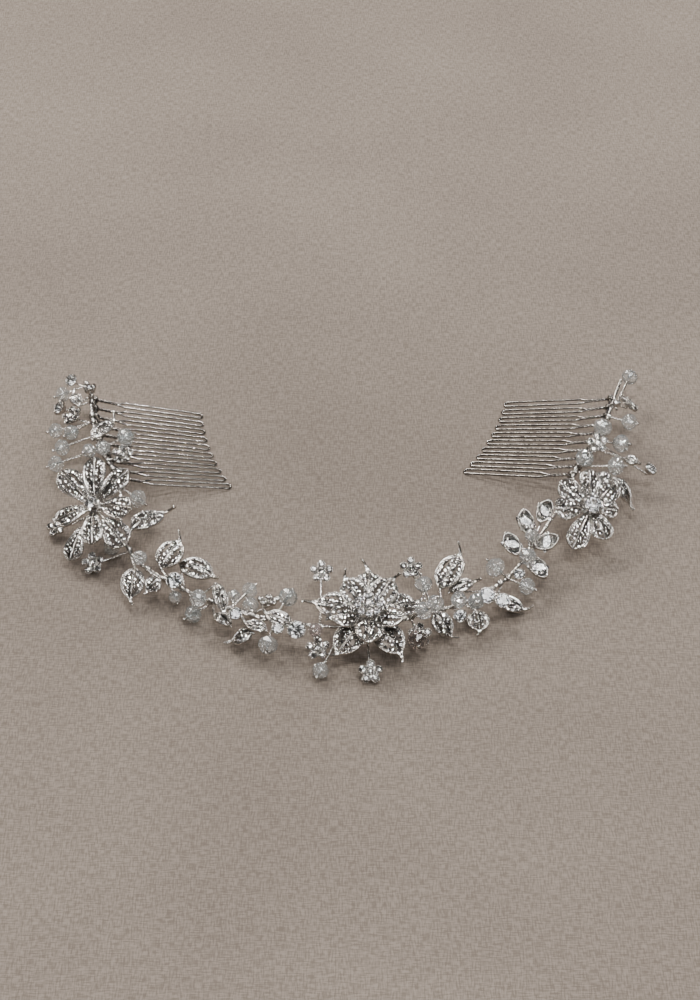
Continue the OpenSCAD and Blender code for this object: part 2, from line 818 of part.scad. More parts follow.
// Marquise stone: pointed oval with four points on each side
function oval_points(length, width) =
    let (h = width / 2, r = (length * length / 4 + h * h) / (2 * h), swing = asin(length / 2 / r))
    concat(
        [for (k = [0:3]) let (a = -swing + 2 * swing * k / 4) [r * sin(a), r * cos(a) - r + h]],
        [for (k = [0:3]) let (a = swing - 2 * swing * k / 4) [r * sin(a), r - h - r * cos(a)]]
    );

module marquise_stone() {
    color(gem) {
        linear_extrude(height = 0.7, scale = 0.6)
            polygon(oval_points(marquise_len, marquise_w));
        mirror([0, 0, 1])
            linear_extrude(height = 1.2, scale = 0.2)
                polygon(oval_points(marquise_len, marquise_w));
    }
}

module marquise_cup() {
    wall = 0.45;
    difference() {
        translate([-marquise_len / 2 - stone_fit * 2 - wall * 2, 0, -0.85])
            pointed_oval(marquise_len + 4 * (stone_fit + wall), marquise_w + 2 * (stone_fit + wall), 2);
        translate([-marquise_len / 2 - stone_fit * 2, 0, 0])
            pointed_oval(marquise_len + 4 * stone_fit, marquise_w + 2 * stone_fit, 2.8);
    }
}

module in_sprig() {
    place(sprig_at, sprig_lean, sprig_face)
        children();
}

module marquise_cups() {
    back = sprig_at - facing(sprig_lean, sprig_face) * 1.9;
    s = station_s(nearest(back, station_step / 2)) + station_step / 2;
    color(metal) {
        in_sprig() {
            for (m = marquises) {
                translate([m[0][0], m[0][1], 0])
                    rotate([0, 0, m[1]])
                        marquise_cup();
                rod([0, 0, -1.8], [m[0][0], m[0][1], -1.8], wire_d);
            }
            translate([0, 0, -2.3])
                cylinder(h = 1.6, d = 2);
            for (b = sprig_beads)
                pin([0, 0, -1.5], b);
        }
        collar(s);
        rod(stalk_start(s, back), back, wire_d);
    }
}

module sprig_beads_on_pins() {
    in_sprig()
        for (b = sprig_beads)
            bead_between([0, 0, -1.5], b);
}

module marquise_stones() {
    in_sprig()
        for (m = marquises)
            translate([m[0][0], m[0][1], 0])
                rotate([0, 0, m[1]])
                    marquise_stone();
}

seated() stem();
seated() flower_lower_petals();
seated() flower_upper_petals();
seated() flower_centre();
seated() flower_stones();
seated() marquise_cups();
seated() marquise_stones();
seated() sprig_beads_on_pins();  // sprig_beads
for (c = combs) {
    seated() comb_spine(c);
    seated() comb_teeth(c);
    seated() bindings(c);
}
for (f = side_flowers) {
    seated() side_flower(f);
    seated() side_flower_stone(f);
}
for (k = [0:3]) {
    seated() twigs(k);
    seated() stones(k);
    seated() string_of_beads(k);
}
for (l = leaves)
    seated() leaf_piece(l);
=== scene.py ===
import bpy, bmesh, json, math, random
from mathutils import Matrix, Vector

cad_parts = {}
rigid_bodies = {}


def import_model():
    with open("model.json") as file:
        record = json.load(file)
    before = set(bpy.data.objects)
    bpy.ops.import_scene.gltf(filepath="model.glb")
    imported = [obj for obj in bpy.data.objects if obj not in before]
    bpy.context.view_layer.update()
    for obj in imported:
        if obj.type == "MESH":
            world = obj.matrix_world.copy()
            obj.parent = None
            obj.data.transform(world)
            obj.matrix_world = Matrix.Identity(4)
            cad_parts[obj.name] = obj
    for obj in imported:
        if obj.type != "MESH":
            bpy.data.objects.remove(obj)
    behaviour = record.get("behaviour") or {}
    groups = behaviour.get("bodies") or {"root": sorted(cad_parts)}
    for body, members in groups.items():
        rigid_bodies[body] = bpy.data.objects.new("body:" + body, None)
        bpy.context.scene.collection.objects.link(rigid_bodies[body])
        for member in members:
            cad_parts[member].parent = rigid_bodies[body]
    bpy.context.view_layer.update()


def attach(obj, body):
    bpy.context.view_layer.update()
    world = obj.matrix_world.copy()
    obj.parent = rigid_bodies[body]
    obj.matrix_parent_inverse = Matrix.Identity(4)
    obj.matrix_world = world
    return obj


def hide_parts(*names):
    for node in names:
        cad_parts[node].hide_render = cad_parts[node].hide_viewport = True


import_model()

seat = Vector((0.59, -0.71, 0))
toFrame = Matrix.Scale(0.001, 4) @ Matrix.Translation(seat)
body = "root"
chance = random.Random(7)
pieces, shapes = [], []
sceneObjects = bpy.context.scene.collection.objects

# Camera at the photograph's angle
view = {
    "lens": 85, "sensor": 36,
    "target": (0.00059, 0.01729, 0),  # what the middle of the picture looks at
    "distance": 0.874, "elevation": math.radians(40),
}
camera = bpy.data.objects.new("camera", bpy.data.cameras.new("camera"))
camera.data.lens, camera.data.sensor_width, camera.data.clip_start = view["lens"], view["sensor"], 0.01
away = Vector((0, -math.cos(view["elevation"]), math.sin(view["elevation"])))
camera.location = Vector(view["target"]) + away * view["distance"]
camera.rotation_euler = (math.radians(90) - view["elevation"], 0, 0)
sceneObjects.link(camera)
bpy.context.scene.camera = camera
print("camera placed")


def paint(code):  # sRGB hex to the linear values that nodes take
    values = [int(code[k:k + 2], 16) / 255 for k in (1, 3, 5)]
    return [v / 12.92 if v <= 0.04045 else ((v + 0.055) / 1.055) ** 2.4 for v in values] + [1.0]


def addNode(tree, kind, links=None, stops=(), **settings):  # one node with its settings, links and ramp colours
    node = tree.nodes.new(kind)
    for name, value in settings.items():
        setattr(node, name, value)
    for key, value in (links or {}).items():
        if isinstance(value, bpy.types.Node):  # a node stands for its first output
            value = value.outputs[0]
        if isinstance(value, bpy.types.NodeSocket):
            tree.links.new(value, node.inputs[key])
        else:
            node.inputs[key].default_value = value
    for k, (place, code) in enumerate(stops):
        node.color_ramp.elements[k].position = place
        node.color_ramp.elements[k].color = paint(code)
    return node


def newMaterial(name):  # the material, its empty tree and its object coordinates
    material = bpy.data.materials.new(name)
    material.use_nodes = True
    material.node_tree.nodes.clear()
    return material, material.node_tree, addNode(material.node_tree, "ShaderNodeTexCoord").outputs["Object"]


def endMaterial(tree, sockets):  # the surface with its values and links, and the output
    surface = addNode(tree, "ShaderNodeBsdfPrincipled", sockets)
    addNode(tree, "ShaderNodeOutputMaterial", {"Surface": surface})


# Rhodium-plated brass, polished by tumbling: a white mirror metal whose cloudy patches,
# a few millimetres wide, and fine scratches break up its highlights
plated = {"clean": "#cdcac6", "cloudy": "#9b968f", "patchSize": 0.003, "polished": 0.13, "dull": 0.3,
          "scratchSize": 0.00025, "scratchDepth": 0.00003}
platedMetal, tree, coords = newMaterial("rhodium_plated_metal")
patches = addNode(tree, "ShaderNodeTexNoise", {"Vector": coords, "Scale": 1 / plated["patchSize"], "Detail": 3.0})
colour = addNode(tree, "ShaderNodeValToRGB", {0: patches}, [(0.35, plated["cloudy"]), (0.6, plated["clean"])])
scratches = addNode(tree, "ShaderNodeTexNoise", {
    "Vector": coords, "Scale": 1 / plated["scratchSize"], "Detail": 2.0})
rough = addNode(tree, "ShaderNodeMapRange", {
    "Value": patches, "From Min": 0.3, "From Max": 0.7, "To Min": plated["dull"], "To Max": plated["polished"]})
bump = addNode(tree, "ShaderNodeBump", {"Height": scratches, "Strength": 0.12, "Distance": plated["scratchDepth"]})
endMaterial(tree, {"Base Color": colour, "Metallic": 1.0, "Roughness": rough, "Normal": bump})

# The same plate in the beds under the small stones: matt, and darkened partly by oxide where the polish never reaches
# and partly by painted shade for the shadow in these recesses between the stones
bed = {"dark": "#2c2825", "grey": "#544e48", "patchSize": 0.0011}
oxideAndPaintedShadeBed, tree, coords = newMaterial("oxidised_bed_with_painted_shade")
patches = addNode(tree, "ShaderNodeTexNoise", {"Vector": coords, "Scale": 1 / bed["patchSize"], "Detail": 3.0})
colour = addNode(tree, "ShaderNodeValToRGB", {0: patches}, [(0.35, bed["dark"]), (0.62, bed["grey"])])
endMaterial(tree, {"Base Color": colour, "Metallic": 1.0, "Roughness": 0.38})

# Drawn steel wire of the combs: greyer and less polished, with short drawing streaks
steel = {"bright": "#98948f", "grey": "#524d49", "streakSize": 0.0006, "polished": 0.12, "dull": 0.26}
drawnSteel, tree, coords = newMaterial("drawn_steel_wire")
stretch = addNode(tree, "ShaderNodeMapping", {"Vector": coords, "Scale": (0.25, 1.0, 1.0)})
streaks = addNode(tree, "ShaderNodeTexNoise", {"Vector": stretch, "Scale": 1 / steel["streakSize"], "Detail": 4.0})
colour = addNode(tree, "ShaderNodeValToRGB", {0: streaks}, [(0.36, steel["grey"]), (0.58, steel["bright"])])
rough = addNode(tree, "ShaderNodeMapRange", {
    "Value": streaks, "From Min": 0.3, "From Max": 0.7, "To Min": steel["dull"], "To Max": steel["polished"]})
endMaterial(tree, {"Base Color": colour, "Metallic": 1.0, "Roughness": rough})

# Small foil-backed rhinestones: the foil makes each facet a little mirror under clear glass, and
# neighbours differ in grey. The back facets seen through the front are little pyramids in the bump
rhinestone = {"dark": "#62605e", "light": "#d3d1cf", "stoneSize": 0.0011, "facetSize": 0.0009,
              "facetDepth": 0.00018}
paveStone, tree, coords = newMaterial("foil_backed_rhinestone")
cells = addNode(tree, "ShaderNodeTexVoronoi", {"Vector": coords, "Scale": 1 / rhinestone["stoneSize"]})
shade = addNode(tree, "ShaderNodeSeparateColor", {0: cells.outputs["Color"]})
colour = addNode(tree, "ShaderNodeValToRGB", {0: shade}, [(0.0, rhinestone["dark"]), (0.55, rhinestone["light"])])
facets = addNode(tree, "ShaderNodeTexVoronoi", {
    "Vector": coords, "Scale": 1 / rhinestone["facetSize"]}, distance="MANHATTAN")
bump = addNode(tree, "ShaderNodeBump", {"Height": facets, "Strength": 1.0, "Distance": rhinestone["facetDepth"]})
endMaterial(tree, {"Base Color": colour, "Metallic": 1.0, "Roughness": 0.1, "Normal": bump,
                   "Coat Weight": 1.0, "Coat Roughness": 0.02, "Coat IOR": 1.55})

# Cut crown glass of the larger stones: clear, faintly cool, sharp facets with a trace of haze
glass = {"clear": "#ffffff", "haze": "#f3f5f7", "patchSize": 0.002}
crownGlass, tree, coords = newMaterial("cut_crown_glass")
patches = addNode(tree, "ShaderNodeTexNoise", {"Vector": coords, "Scale": 1 / glass["patchSize"], "Detail": 2.0})
colour = addNode(tree, "ShaderNodeValToRGB", {0: patches}, [(0.4, glass["haze"]), (0.6, glass["clear"])])
endMaterial(tree, {"Base Color": colour, "Roughness": 0.01, "IOR": 1.56, "Transmission Weight": 1.0})

# Silver foil on the back of the larger stones: a mirror, slightly uneven where it was laid
foil = {"bright": "#ffffff", "grey": "#c9c9c9", "patchSize": 0.0008}
silverFoil, tree, coords = newMaterial("silver_foil")
patches = addNode(tree, "ShaderNodeTexNoise", {"Vector": coords, "Scale": 1 / foil["patchSize"], "Detail": 2.0})
colour = addNode(tree, "ShaderNodeValToRGB", {0: patches}, [(0.35, foil["grey"]), (0.55, foil["bright"])])
endMaterial(tree, {"Base Color": colour, "Metallic": 1.0, "Roughness": 0.12})

# Cut crystal of the beads: sharp facets, each bead with its own faint tint, a little haze in places,
# and in the bump the glints of the facets on its far side
crystal = {"ior": 1.54, "transmission": 0.92, "patchSize": 0.004, "clear": 0.0, "hazy": 0.02,
           "glintSize": 0.0022, "glintDepth": 0.0003}
cutCrystal, tree, coords = newMaterial("cut_crystal")
tint = addNode(tree, "ShaderNodeAttribute", attribute_name="tint")
patches = addNode(tree, "ShaderNodeTexNoise", {"Vector": coords, "Scale": 1 / crystal["patchSize"], "Detail": 2.0})
rough = addNode(tree, "ShaderNodeMapRange", {
    "Value": patches, "From Min": 0.4, "From Max": 0.65, "To Min": crystal["clear"], "To Max": crystal["hazy"]})
glints = addNode(tree, "ShaderNodeTexVoronoi", {
    "Vector": coords, "Scale": 1 / crystal["glintSize"]}, distance="MANHATTAN")
bump = addNode(tree, "ShaderNodeBump", {"Height": glints, "Strength": 1.0, "Distance": crystal["glintDepth"]})
endMaterial(tree, {
    "Base Color": tint, "Roughness": rough, "Normal": bump, "IOR": crystal["ior"],
    "Transmission Weight": crystal["transmission"],
    "Coat Weight": 1.0, "Coat Roughness": 0.05, "Coat IOR": crystal["ior"]})
print("materials made")


def newTree(name, inputs):  # a tree with named inputs, and the sockets that bring them in
    tree = bpy.data.node_groups.new(name, "GeometryNodeTree")
    tree.is_modifier = True
    tree.interface.new_socket(name="Geometry", in_out="OUTPUT", socket_type="NodeSocketGeometry")
    for label, kind, value in [("Geometry", "Geometry", None)] + inputs + [("Material", "Material", None)]:
        item = tree.interface.new_socket(name=label, in_out="INPUT", socket_type="NodeSocket" + kind)
        if value is not None:
            item.default_value = value
    return tree, tree.nodes.new("NodeGroupInput").outputs


def endTree(tree, geometry, given):  # instances made real, then the material
    real = addNode(tree, "GeometryNodeRealizeInstances", {"Geometry": geometry})
    coated = addNode(tree, "GeometryNodeSetMaterial", {"Geometry": real, "Material": given["Material"]})
    addNode(tree, "NodeGroupOutput", {"Geometry": coated})


def roundWire(tree, curve, given):  # smooth wire with closed ends along a curve
    outline = addNode(tree, "GeometryNodeCurvePrimitiveCircle", {
        "Resolution": given["Sides"], "Radius": given["Wire Radius"]})
    tube = addNode(tree, "GeometryNodeCurveToMesh", {
        "Curve": curve, "Profile Curve": outline, "Fill Caps": True})
    return addNode(tree, "GeometryNodeSetShadeSmooth", {"Geometry": tube, "Shade Smooth": True})


def spotTurn(tree, low, high, given):  # each spot's own turn, and a random one between two limits
    own = addNode(tree, "GeometryNodeInputNamedAttribute", {"Name": "turn"}, data_type="FLOAT_VECTOR")
    extra = addNode(tree, "FunctionNodeRandomValue", {
        "Min": low, "Max": high, "Seed": given["Seed"]}, data_type="FLOAT_VECTOR")
    first, second = [addNode(tree, "FunctionNodeEulerToRotation", {"Euler": angles}) for angles in (own, extra)]
    return addNode(tree, "FunctionNodeRotateRotation", {
        "Rotation": first, "Rotate By": second}, rotation_space="LOCAL")


# Wires along lines: one strand, or several twisted round each other
wireTree, given = newTree("wires", [
    ("Strands", "Int", 1), ("Wire Radius", "Float", 0.4), ("Strand Offset", "Float", 0.0),
    ("Twist Length", "Float", 3.0), ("Step", "Float", 0.5), ("Sides", "Int", 6)])
curve = addNode(wireTree, "GeometryNodeMeshToCurve", {"Mesh": given["Geometry"]})
fine = addNode(wireTree, "GeometryNodeResampleCurve", {"Curve": curve, "Length": given["Step"]}, mode="LENGTH")
strands = addNode(wireTree, "GeometryNodeDuplicateElements", {
    "Geometry": fine, "Amount": given["Strands"]}, domain="SPLINE")
along = addNode(wireTree, "GeometryNodeSplineParameter").outputs["Length"]
turns = addNode(wireTree, "ShaderNodeMath", {0: along, 1: given["Twist Length"]}, operation="DIVIDE")
share = addNode(wireTree, "ShaderNodeMath", {
    0: strands.outputs["Duplicate Index"], 1: given["Strands"]}, operation="DIVIDE")
total = addNode(wireTree, "ShaderNodeMath", {0: turns, 1: share}, operation="ADD")
angle = addNode(wireTree, "ShaderNodeMath", {0: total, 1: math.tau}, operation="MULTIPLY")
tangent = addNode(wireTree, "GeometryNodeInputTangent")
normal = addNode(wireTree, "GeometryNodeInputNormal")
turned = addNode(wireTree, "ShaderNodeVectorRotate", {
    "Vector": normal, "Axis": tangent, "Angle": angle}, rotation_type="AXIS_ANGLE")
offset = addNode(wireTree, "ShaderNodeVectorMath", {0: turned, "Scale": given["Strand Offset"]}, operation="SCALE")
apart = addNode(wireTree, "GeometryNodeSetPosition", {"Geometry": strands, "Offset": offset})
endTree(wireTree, roundWire(wireTree, apart, given), given)

# Copies of one small shape at marked spots, each turned by its own angles plus a small tilt
scatterTree, given = newTree("set_pieces", [
    ("Shape", "Object", None), ("Tilt", "Float", 0.0), ("Seed", "Int", 1)])
shape = addNode(scatterTree, "GeometryNodeObjectInfo", {"Object": given["Shape"]})
size = addNode(scatterTree, "GeometryNodeInputNamedAttribute", {"Name": "size"}, data_type="FLOAT")
lowTilt = addNode(scatterTree, "ShaderNodeMath", {0: given["Tilt"], 1: -1.0}, operation="MULTIPLY")
low = addNode(scatterTree, "ShaderNodeCombineXYZ", {0: lowTilt, 1: lowTilt, 2: 0.0})
high = addNode(scatterTree, "ShaderNodeCombineXYZ", {0: given["Tilt"], 1: given["Tilt"], 2: math.tau})
copies = addNode(scatterTree, "GeometryNodeInstanceOnPoints", {
    "Points": given["Geometry"], "Instance": shape.outputs["Geometry"],
    "Rotation": spotTurn(scatterTree, low, high, given), "Scale": size})
endTree(scatterTree, copies, given)

# Windings of fine wire round the core wire, one at each spot
coilTree, given = newTree("windings", [
    ("Turns", "Float", 5.0), ("Coil Radius", "Float", 1.0), ("Length", "Float", 1.6),
    ("Wire Radius", "Float", 0.2), ("Steps", "Int", 12), ("Sides", "Int", 5), ("Seed", "Int", 1)])
coil = addNode(coilTree, "GeometryNodeCurveSpiral", {
    "Resolution": given["Steps"], "Rotations": given["Turns"], "Start Radius": given["Coil Radius"],
    "End Radius": given["Coil Radius"], "Height": given["Length"]})
half = addNode(coilTree, "ShaderNodeMath", {0: given["Length"], 1: -0.5}, operation="MULTIPLY")
drop = addNode(coilTree, "ShaderNodeCombineXYZ", {0: 0.0, 1: 0.0, 2: half})
centred = addNode(coilTree, "GeometryNodeSetPosition", {"Geometry": coil, "Offset": drop})
copies = addNode(coilTree, "GeometryNodeInstanceOnPoints", {
    "Points": given["Geometry"], "Instance": roundWire(coilTree, centred, given),
    "Rotation": spotTurn(coilTree, (-0.08, -0.08, 0.0), (0.08, 0.08, math.tau), given)})
endTree(coilTree, copies, given)


def runTree(tree, mesh, values):  # the tree's result as a plain mesh
    holder = bpy.data.objects.new("holder", mesh)
    sceneObjects.link(holder)
    modifier = holder.modifiers.new("build", "NODES")
    modifier.node_group = tree
    for item in tree.interface.items_tree:
        if item.item_type == "SOCKET" and item.in_out == "INPUT" and item.name in values:
            modifier[item.identifier] = values[item.name]
    graph = bpy.context.evaluated_depsgraph_get()
    made = bpy.data.meshes.new_from_object(holder.evaluated_get(graph), depsgraph=graph)
    holder.modifiers.remove(modifier)
    bpy.data.objects.remove(holder)
    return made


def wires(paths, radius=0.4, strands=1, offset=0.0, twist=3.0, step=0.5, sides=6, material=platedMetal):
    points, edges = [], []
    for path in paths:
        edges += [(len(points) + k, len(points) + k + 1) for k in range(len(path) - 1)]
        points += [tuple(p) for p in path]
    mesh = bpy.data.meshes.new("lines")
    mesh.from_pydata(points, edges, [])
    return runTree(wireTree, mesh, {
        "Strands": strands, "Wire Radius": radius, "Strand Offset": offset,
        "Twist Length": twist, "Step": step, "Sides": sides, "Material": material})


def spots(rows):  # rows of matrix, size and, for beads, tint
    mesh = bpy.data.meshes.new("spots")
    mesh.from_pydata([tuple(row[0].translation) for row in rows], [], [])
    tinted = bool(rows) and len(rows[0]) > 2
    mesh.attributes.new("turn", "FLOAT_VECTOR", "POINT")
    mesh.attributes.new("size", "FLOAT", "POINT")
    if tinted:
        mesh.attributes.new("tint", "FLOAT_COLOR", "POINT")
    for k, row in enumerate(rows):  # fetched by name, because a new attribute moves the older ones
        mesh.attributes["turn"].data[k].vector = tuple(row[0].to_euler())
        mesh.attributes["size"].data[k].value = row[1]
        if tinted:
            mesh.attributes["tint"].data[k].color = row[2]
    return mesh


def scatter(rows, shapeObject, material, tilt=0.0, seed=1):
    return runTree(scatterTree, spots(rows), {
        "Shape": shapeObject, "Tilt": tilt, "Seed": seed, "Material": material})


def windings(rows, turns, radius, length, wire, seed, material):
    return runTree(coilTree, spots(rows), {
        "Turns": turns, "Coil Radius": radius, "Length": length, "Wire Radius": wire,
        "Seed": seed, "Material": material})


def meshOf(name, points, faces, material=None, smooth=False):
    mesh = bpy.data.meshes.new(name)
    mesh.from_pydata([tuple(p) for p in points], [], faces)
    if material:
        mesh.materials.append(material)
    mesh.polygons.foreach_set("use_smooth", [smooth] * len(mesh.polygons))
    mesh.update()
    return mesh


def metalAt(matrix, points, faces):  # a smooth plated mesh, moved to its place
    mesh = meshOf("metal", points, faces, platedMetal, True)
    mesh.transform(matrix)
    return mesh


def finishPiece(name, meshes, solid=True):  # one object at the origin, placed by its mesh
    joined = bmesh.new()
    materials = []
    for mesh in meshes:
        first = len(joined.faces)
        joined.from_mesh(mesh)
        joined.faces.ensure_lookup_table()
        materials += [material for material in mesh.materials if material not in materials]
        own = [materials.index(material) for material in mesh.materials]
        for face in joined.faces[first:]:
            face.material_index = own[face.material_index] if own else 0
    result = bpy.data.meshes.new(name)
    joined.to_mesh(result)
    joined.free()
    for material in materials:
        result.materials.append(material)
    result.transform(toFrame)
    piece = bpy.data.objects.new("fine_" + name, result)
    sceneObjects.link(piece)
    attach(piece, body)
    if solid:
        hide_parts(name)
    pieces.append(piece)


def hiddenShape(name, points, faces, smooth=False, material=None):  # a shape that the scatter tree copies
    shapes.append(bpy.data.objects.new(name, meshOf(name, points, faces, material, smooth)))
    return shapes[-1]


def polar(radius, degrees, height=0.0):
    a = math.radians(degrees)
    return Vector((radius * math.cos(a), radius * math.sin(a), height))


def shiftBy(place):
    return Matrix.Translation(place)


def turnBy(degrees, axis="Z"):
    return Matrix.Rotation(math.radians(degrees), 4, axis)


def pointing(way):  # the turn that takes Z to a direction
    return way.to_track_quat("Z", "Y").to_matrix().to_4x4()


def facing(lean, face):
    return polar(math.sin(math.radians(lean)), face, math.cos(math.radians(lean)))


def placed(at, lean, face):  # the same turn as in the source of the solids
    return shiftBy(at) @ turnBy(face) @ turnBy(lean, "Y") @ turnBy(face).inverted()


def skin(width, rows):  # faces between rings of points, closed at both ends
    faces = []
    for i in range(rows - 1):
        for k in range(width):
            a, b = i * width + k, i * width + (k + 1) % width
            faces.append((a, b, b + width, a + width))
    return faces + [tuple(reversed(range(width))), tuple(range((rows - 1) * width, rows * width))]


def lathe(profile, sides):  # rings of (radius, height) from the bottom up
    points = [polar(radius, 360 * k / sides, height) for radius, height in profile for k in range(sides)]
    return points, skin(sides, len(profile))


def brilliant(girdle, height, depth):  # table, star, kite and girdle facets over a pavilion
    points = [girdle(k / 16) for k in range(16)]
    tableRing = [points[2 * j] * 0.56 + Vector((0, 0, height)) for j in range(8)]
    starRing = [points[2 * j + 1] * 0.8 + Vector((0, 0, height * 0.6)) for j in range(8)]
    lowRing = [points[2 * j + 1] * 0.42 - Vector((0, 0, depth * 0.64)) for j in range(8)]
    points += tableRing + starRing + lowRing + [Vector((0, 0, -depth))]
    t, s, p, c = 16, 24, 32, 40  # where each ring and the point start
    crown, pavilion = [tuple(t + j for j in range(8))], []
    for j in range(8):
        n, m = (j + 1) % 8, (j - 1) % 8
        g, g1, g2 = 2 * j, 2 * j + 1, (2 * j + 2) % 16
        crown += [(t + j, s + j, t + n), (t + j, s + m, g, s + j), (s + j, g, g1), (s + j, g1, g2)]
        pavilion += [(c, p + j, g, p + m), (p + j, g1, g), (p + j, g2, g1)]
    return points, crown, pavilion


marquise = {"length": 8, "width": 4.8}


def ovalPoint(share, grow=0.0):  # pointed oval made of two arcs
    length, h = marquise["length"] + 4 * grow, marquise["width"] / 2 + grow
    r = (length * length / 4 + h * h) / (2 * h)
    swing = math.asin(length / 2 / r)
    turn = (share % 1) * 2
    side = 1 if turn < 1 else -1
    a = swing - 2 * swing * (turn % 1)
    return Vector((side * r * math.sin(a), side * (r * math.cos(a) - r + h), 0))


# Small shapes, for a diameter of 1 where they are round
points, crown, pavilion = brilliant(lambda share: polar(0.5, 360 * share), 0.19, 0.42)
crownShape = hiddenShape("stone_crown", points, crown)
pavilionShape = hiddenShape("stone_pavilion", points, pavilion)
points, crown, pavilion = brilliant(ovalPoint, 0.75, 1.2)
marquiseCrown = hiddenShape("marquise_crown", points, crown)
marquisePavilion = hiddenShape("marquise_pavilion", points, pavilion)

# Small round stone with eight crown facets, a table and a point
points = [polar(radius, 45 * k, height) for radius, height in ((0.5, 0), (0.28, 0.17)) for k in range(8)]
faces = [(k, (k + 1) % 8, 8 + (k + 1) % 8, 8 + k) for k in range(8)]
faces += [((k + 1) % 8, k, 16) for k in range(8)] + [tuple(range(8, 16))]
paveShape = hiddenShape("pave_stone", points + [(0, 0, -0.3)], faces)

# Grain of metal raised between two stones, and the ball at the end of a bead's wire
points, faces = lathe([(0.3, -0.4), (0.5, 0.0), (0.36, 0.3), (0.12, 0.42)], 6)
grainShape = hiddenShape("grain", points, faces, True)
points, faces = lathe([(0.5 * math.sin(math.pi * k / 7), -0.5 * math.cos(math.pi * k / 7)) for k in range(1, 7)], 10)
ballShape = hiddenShape("ball", points, faces, True)

# Faceted crystal bead with its bore along Z
beadSides, bore, beadHalf = 10, 0.09, 0.44
levels = [(bore, -beadHalf), (0.3, -0.37), (0.47, -0.15), (0.5, 0.0), (0.47, 0.15), (0.3, 0.37), (bore, beadHalf)]
points = [polar(radius, 360 * (k + 0.5 * (i % 2)) / beadSides, height)
          for i, (radius, height) in enumerate(levels) for k in range(beadSides)]
top = (len(levels) - 1) * beadSides
faces = []
for i in range(len(levels) - 1):
    for k in range(beadSides):
        a, b = i * beadSides + k, i * beadSides + (k + 1) % beadSides
        c, d = a + beadSides, b + beadSides
        faces += [(a, b, c), (b, d, c)] if i % 2 == 0 else [(a, d, c), (a, b, d)]
for k in range(beadSides):  # wall of the bore
    faces.append((k, top + k, top + (k + 1) % beadSides, (k + 1) % beadSides))
crystalShape = hiddenShape("bead", points, faces)

# Cup for a round stone: a thin flared wall with a lip
points, faces = lathe([
    (0.3, -0.5), (0.38, -0.48), (0.5, -0.2), (0.575, -0.03), (0.575, 0.05), (0.545, 0.06),
    (0.515, 0.02), (0.5, -0.06), (0.26, -0.42)], 20)
cupShape = hiddenShape("cup", points, faces, True, platedMetal)
print("trees and small shapes made")

# The vine's path and what is wound on it
vine = {
    "strands": 3, "strandRadius": 0.33, "strandOffset": 0.34, "twistLength": 7.0,
    "firstWinding": 2, "windingStep": 8, "windingLength": 1.6, "windingTurns": 5.0, "windingRadius": 0.98,
    "windingWire": 0.2, "stalkFoot": 1.25, "stalkWire": 0.24, "stalkOffset": 0.2, "stalkTwist": 2.6,
    "ball": 1.1, "beadBall": 1.15, "pinEnd": 0.75,
}
stemRoute = [Vector(p) for p in (
    (-102, 74, 12.5), (-99, 66, 12.5), (-97.5, 53.5, 12.5), (-95, 41.5, 12.5), (-91, 29.5, 12.5),
    (-86, 18, 12.5), (-83, 5, 11), (-82, -9, 9.5), (-77, -23, 8.5), (-66, -34, 8), (-48, -46, 7.5),
    (-28, -54.5, 7), (-8, -57.5, 6.5), (6.5, -57, 6), (24, -52, 6.5), (42, -44.5, 7), (55, -34, 7.5),
    (64, -20, 8), (72, -5, 9), (80, 9, 11), (83, 20.5, 12.5), (89, 31.5, 12.5), (94, 42.5, 12.5),
    (98.5, 54.5, 12.5), (102, 67, 12.5), (104.5, 75, 12.5))]


def smoothPath(route, count):  # points on a smooth curve through the route
    result = []
    last = len(route) - 1
    for i in range(last):
        p0, p1, p2, p3 = route[max(i - 1, 0)], route[i], route[i + 1], route[min(i + 2, last)]
        for k in range(count):
            t = k / count
            result.append(0.5 * (2 * p1 + (p2 - p0) * t + (2 * p0 - 5 * p1 + 4 * p2 - p3) * t * t
                                 + (3 * p1 - p0 - 3 * p2 + p3) * t ** 3))
    return result + [route[last]]


stemPath = smoothPath(stemRoute, 2)
stemLengths = [0.0]
for a, b in zip(stemPath, stemPath[1:]):
    stemLengths.append(stemLengths[-1] + (b - a).length)
windingCount = int((stemLengths[-1] - 3) / vine["windingStep"])
between = vine["windingStep"] / 2  # leaves and flowers are tied on between the twigs


def pathAt(s):
    i = max(k for k in range(len(stemPath) - 1) if stemLengths[k] <= s or k == 0)
    return stemPath[i].lerp(stemPath[i + 1], (s - stemLengths[i]) / (stemLengths[i + 1] - stemLengths[i]))


def pathDirection(s):
    return (pathAt(s + 0.6) - pathAt(s - 0.6)).normalized()


def windingNear(point, offset=0, move=0):  # the winding nearest to a point, or one some steps further on
    def place(i):
        return vine["firstWinding"] + i * vine["windingStep"] + offset
    return place(min(range(windingCount), key=lambda i: (pathAt(place(i)) - point).length) + move)


def stalkStart(s, target):
    p, d = pathAt(s), pathDirection(s)
    side = (target - p) - d * (target - p).dot(d)
    return p + side.normalized() * vine["stalkFoot"]


def stalks(pairs):  # twisted pairs of fine wire between two ends
    return wires(pairs, vine["stalkWire"], 2, vine["stalkOffset"], vine["stalkTwist"], step=0.4)


def vineWindings(places, seed):
    return windings([(shiftBy(pathAt(s)) @ pointing(pathDirection(s)), 1.0) for s in places],
                    vine["windingTurns"], vine["windingRadius"], vine["windingLength"], vine["windingWire"],
                    seed, platedMetal)


finishPiece("stem", [wires([smoothPath(stemRoute, 8)], vine["strandRadius"], vine["strands"], vine["strandOffset"],
                           vine["twistLength"], step=0.7, sides=8)])
print("stem made")

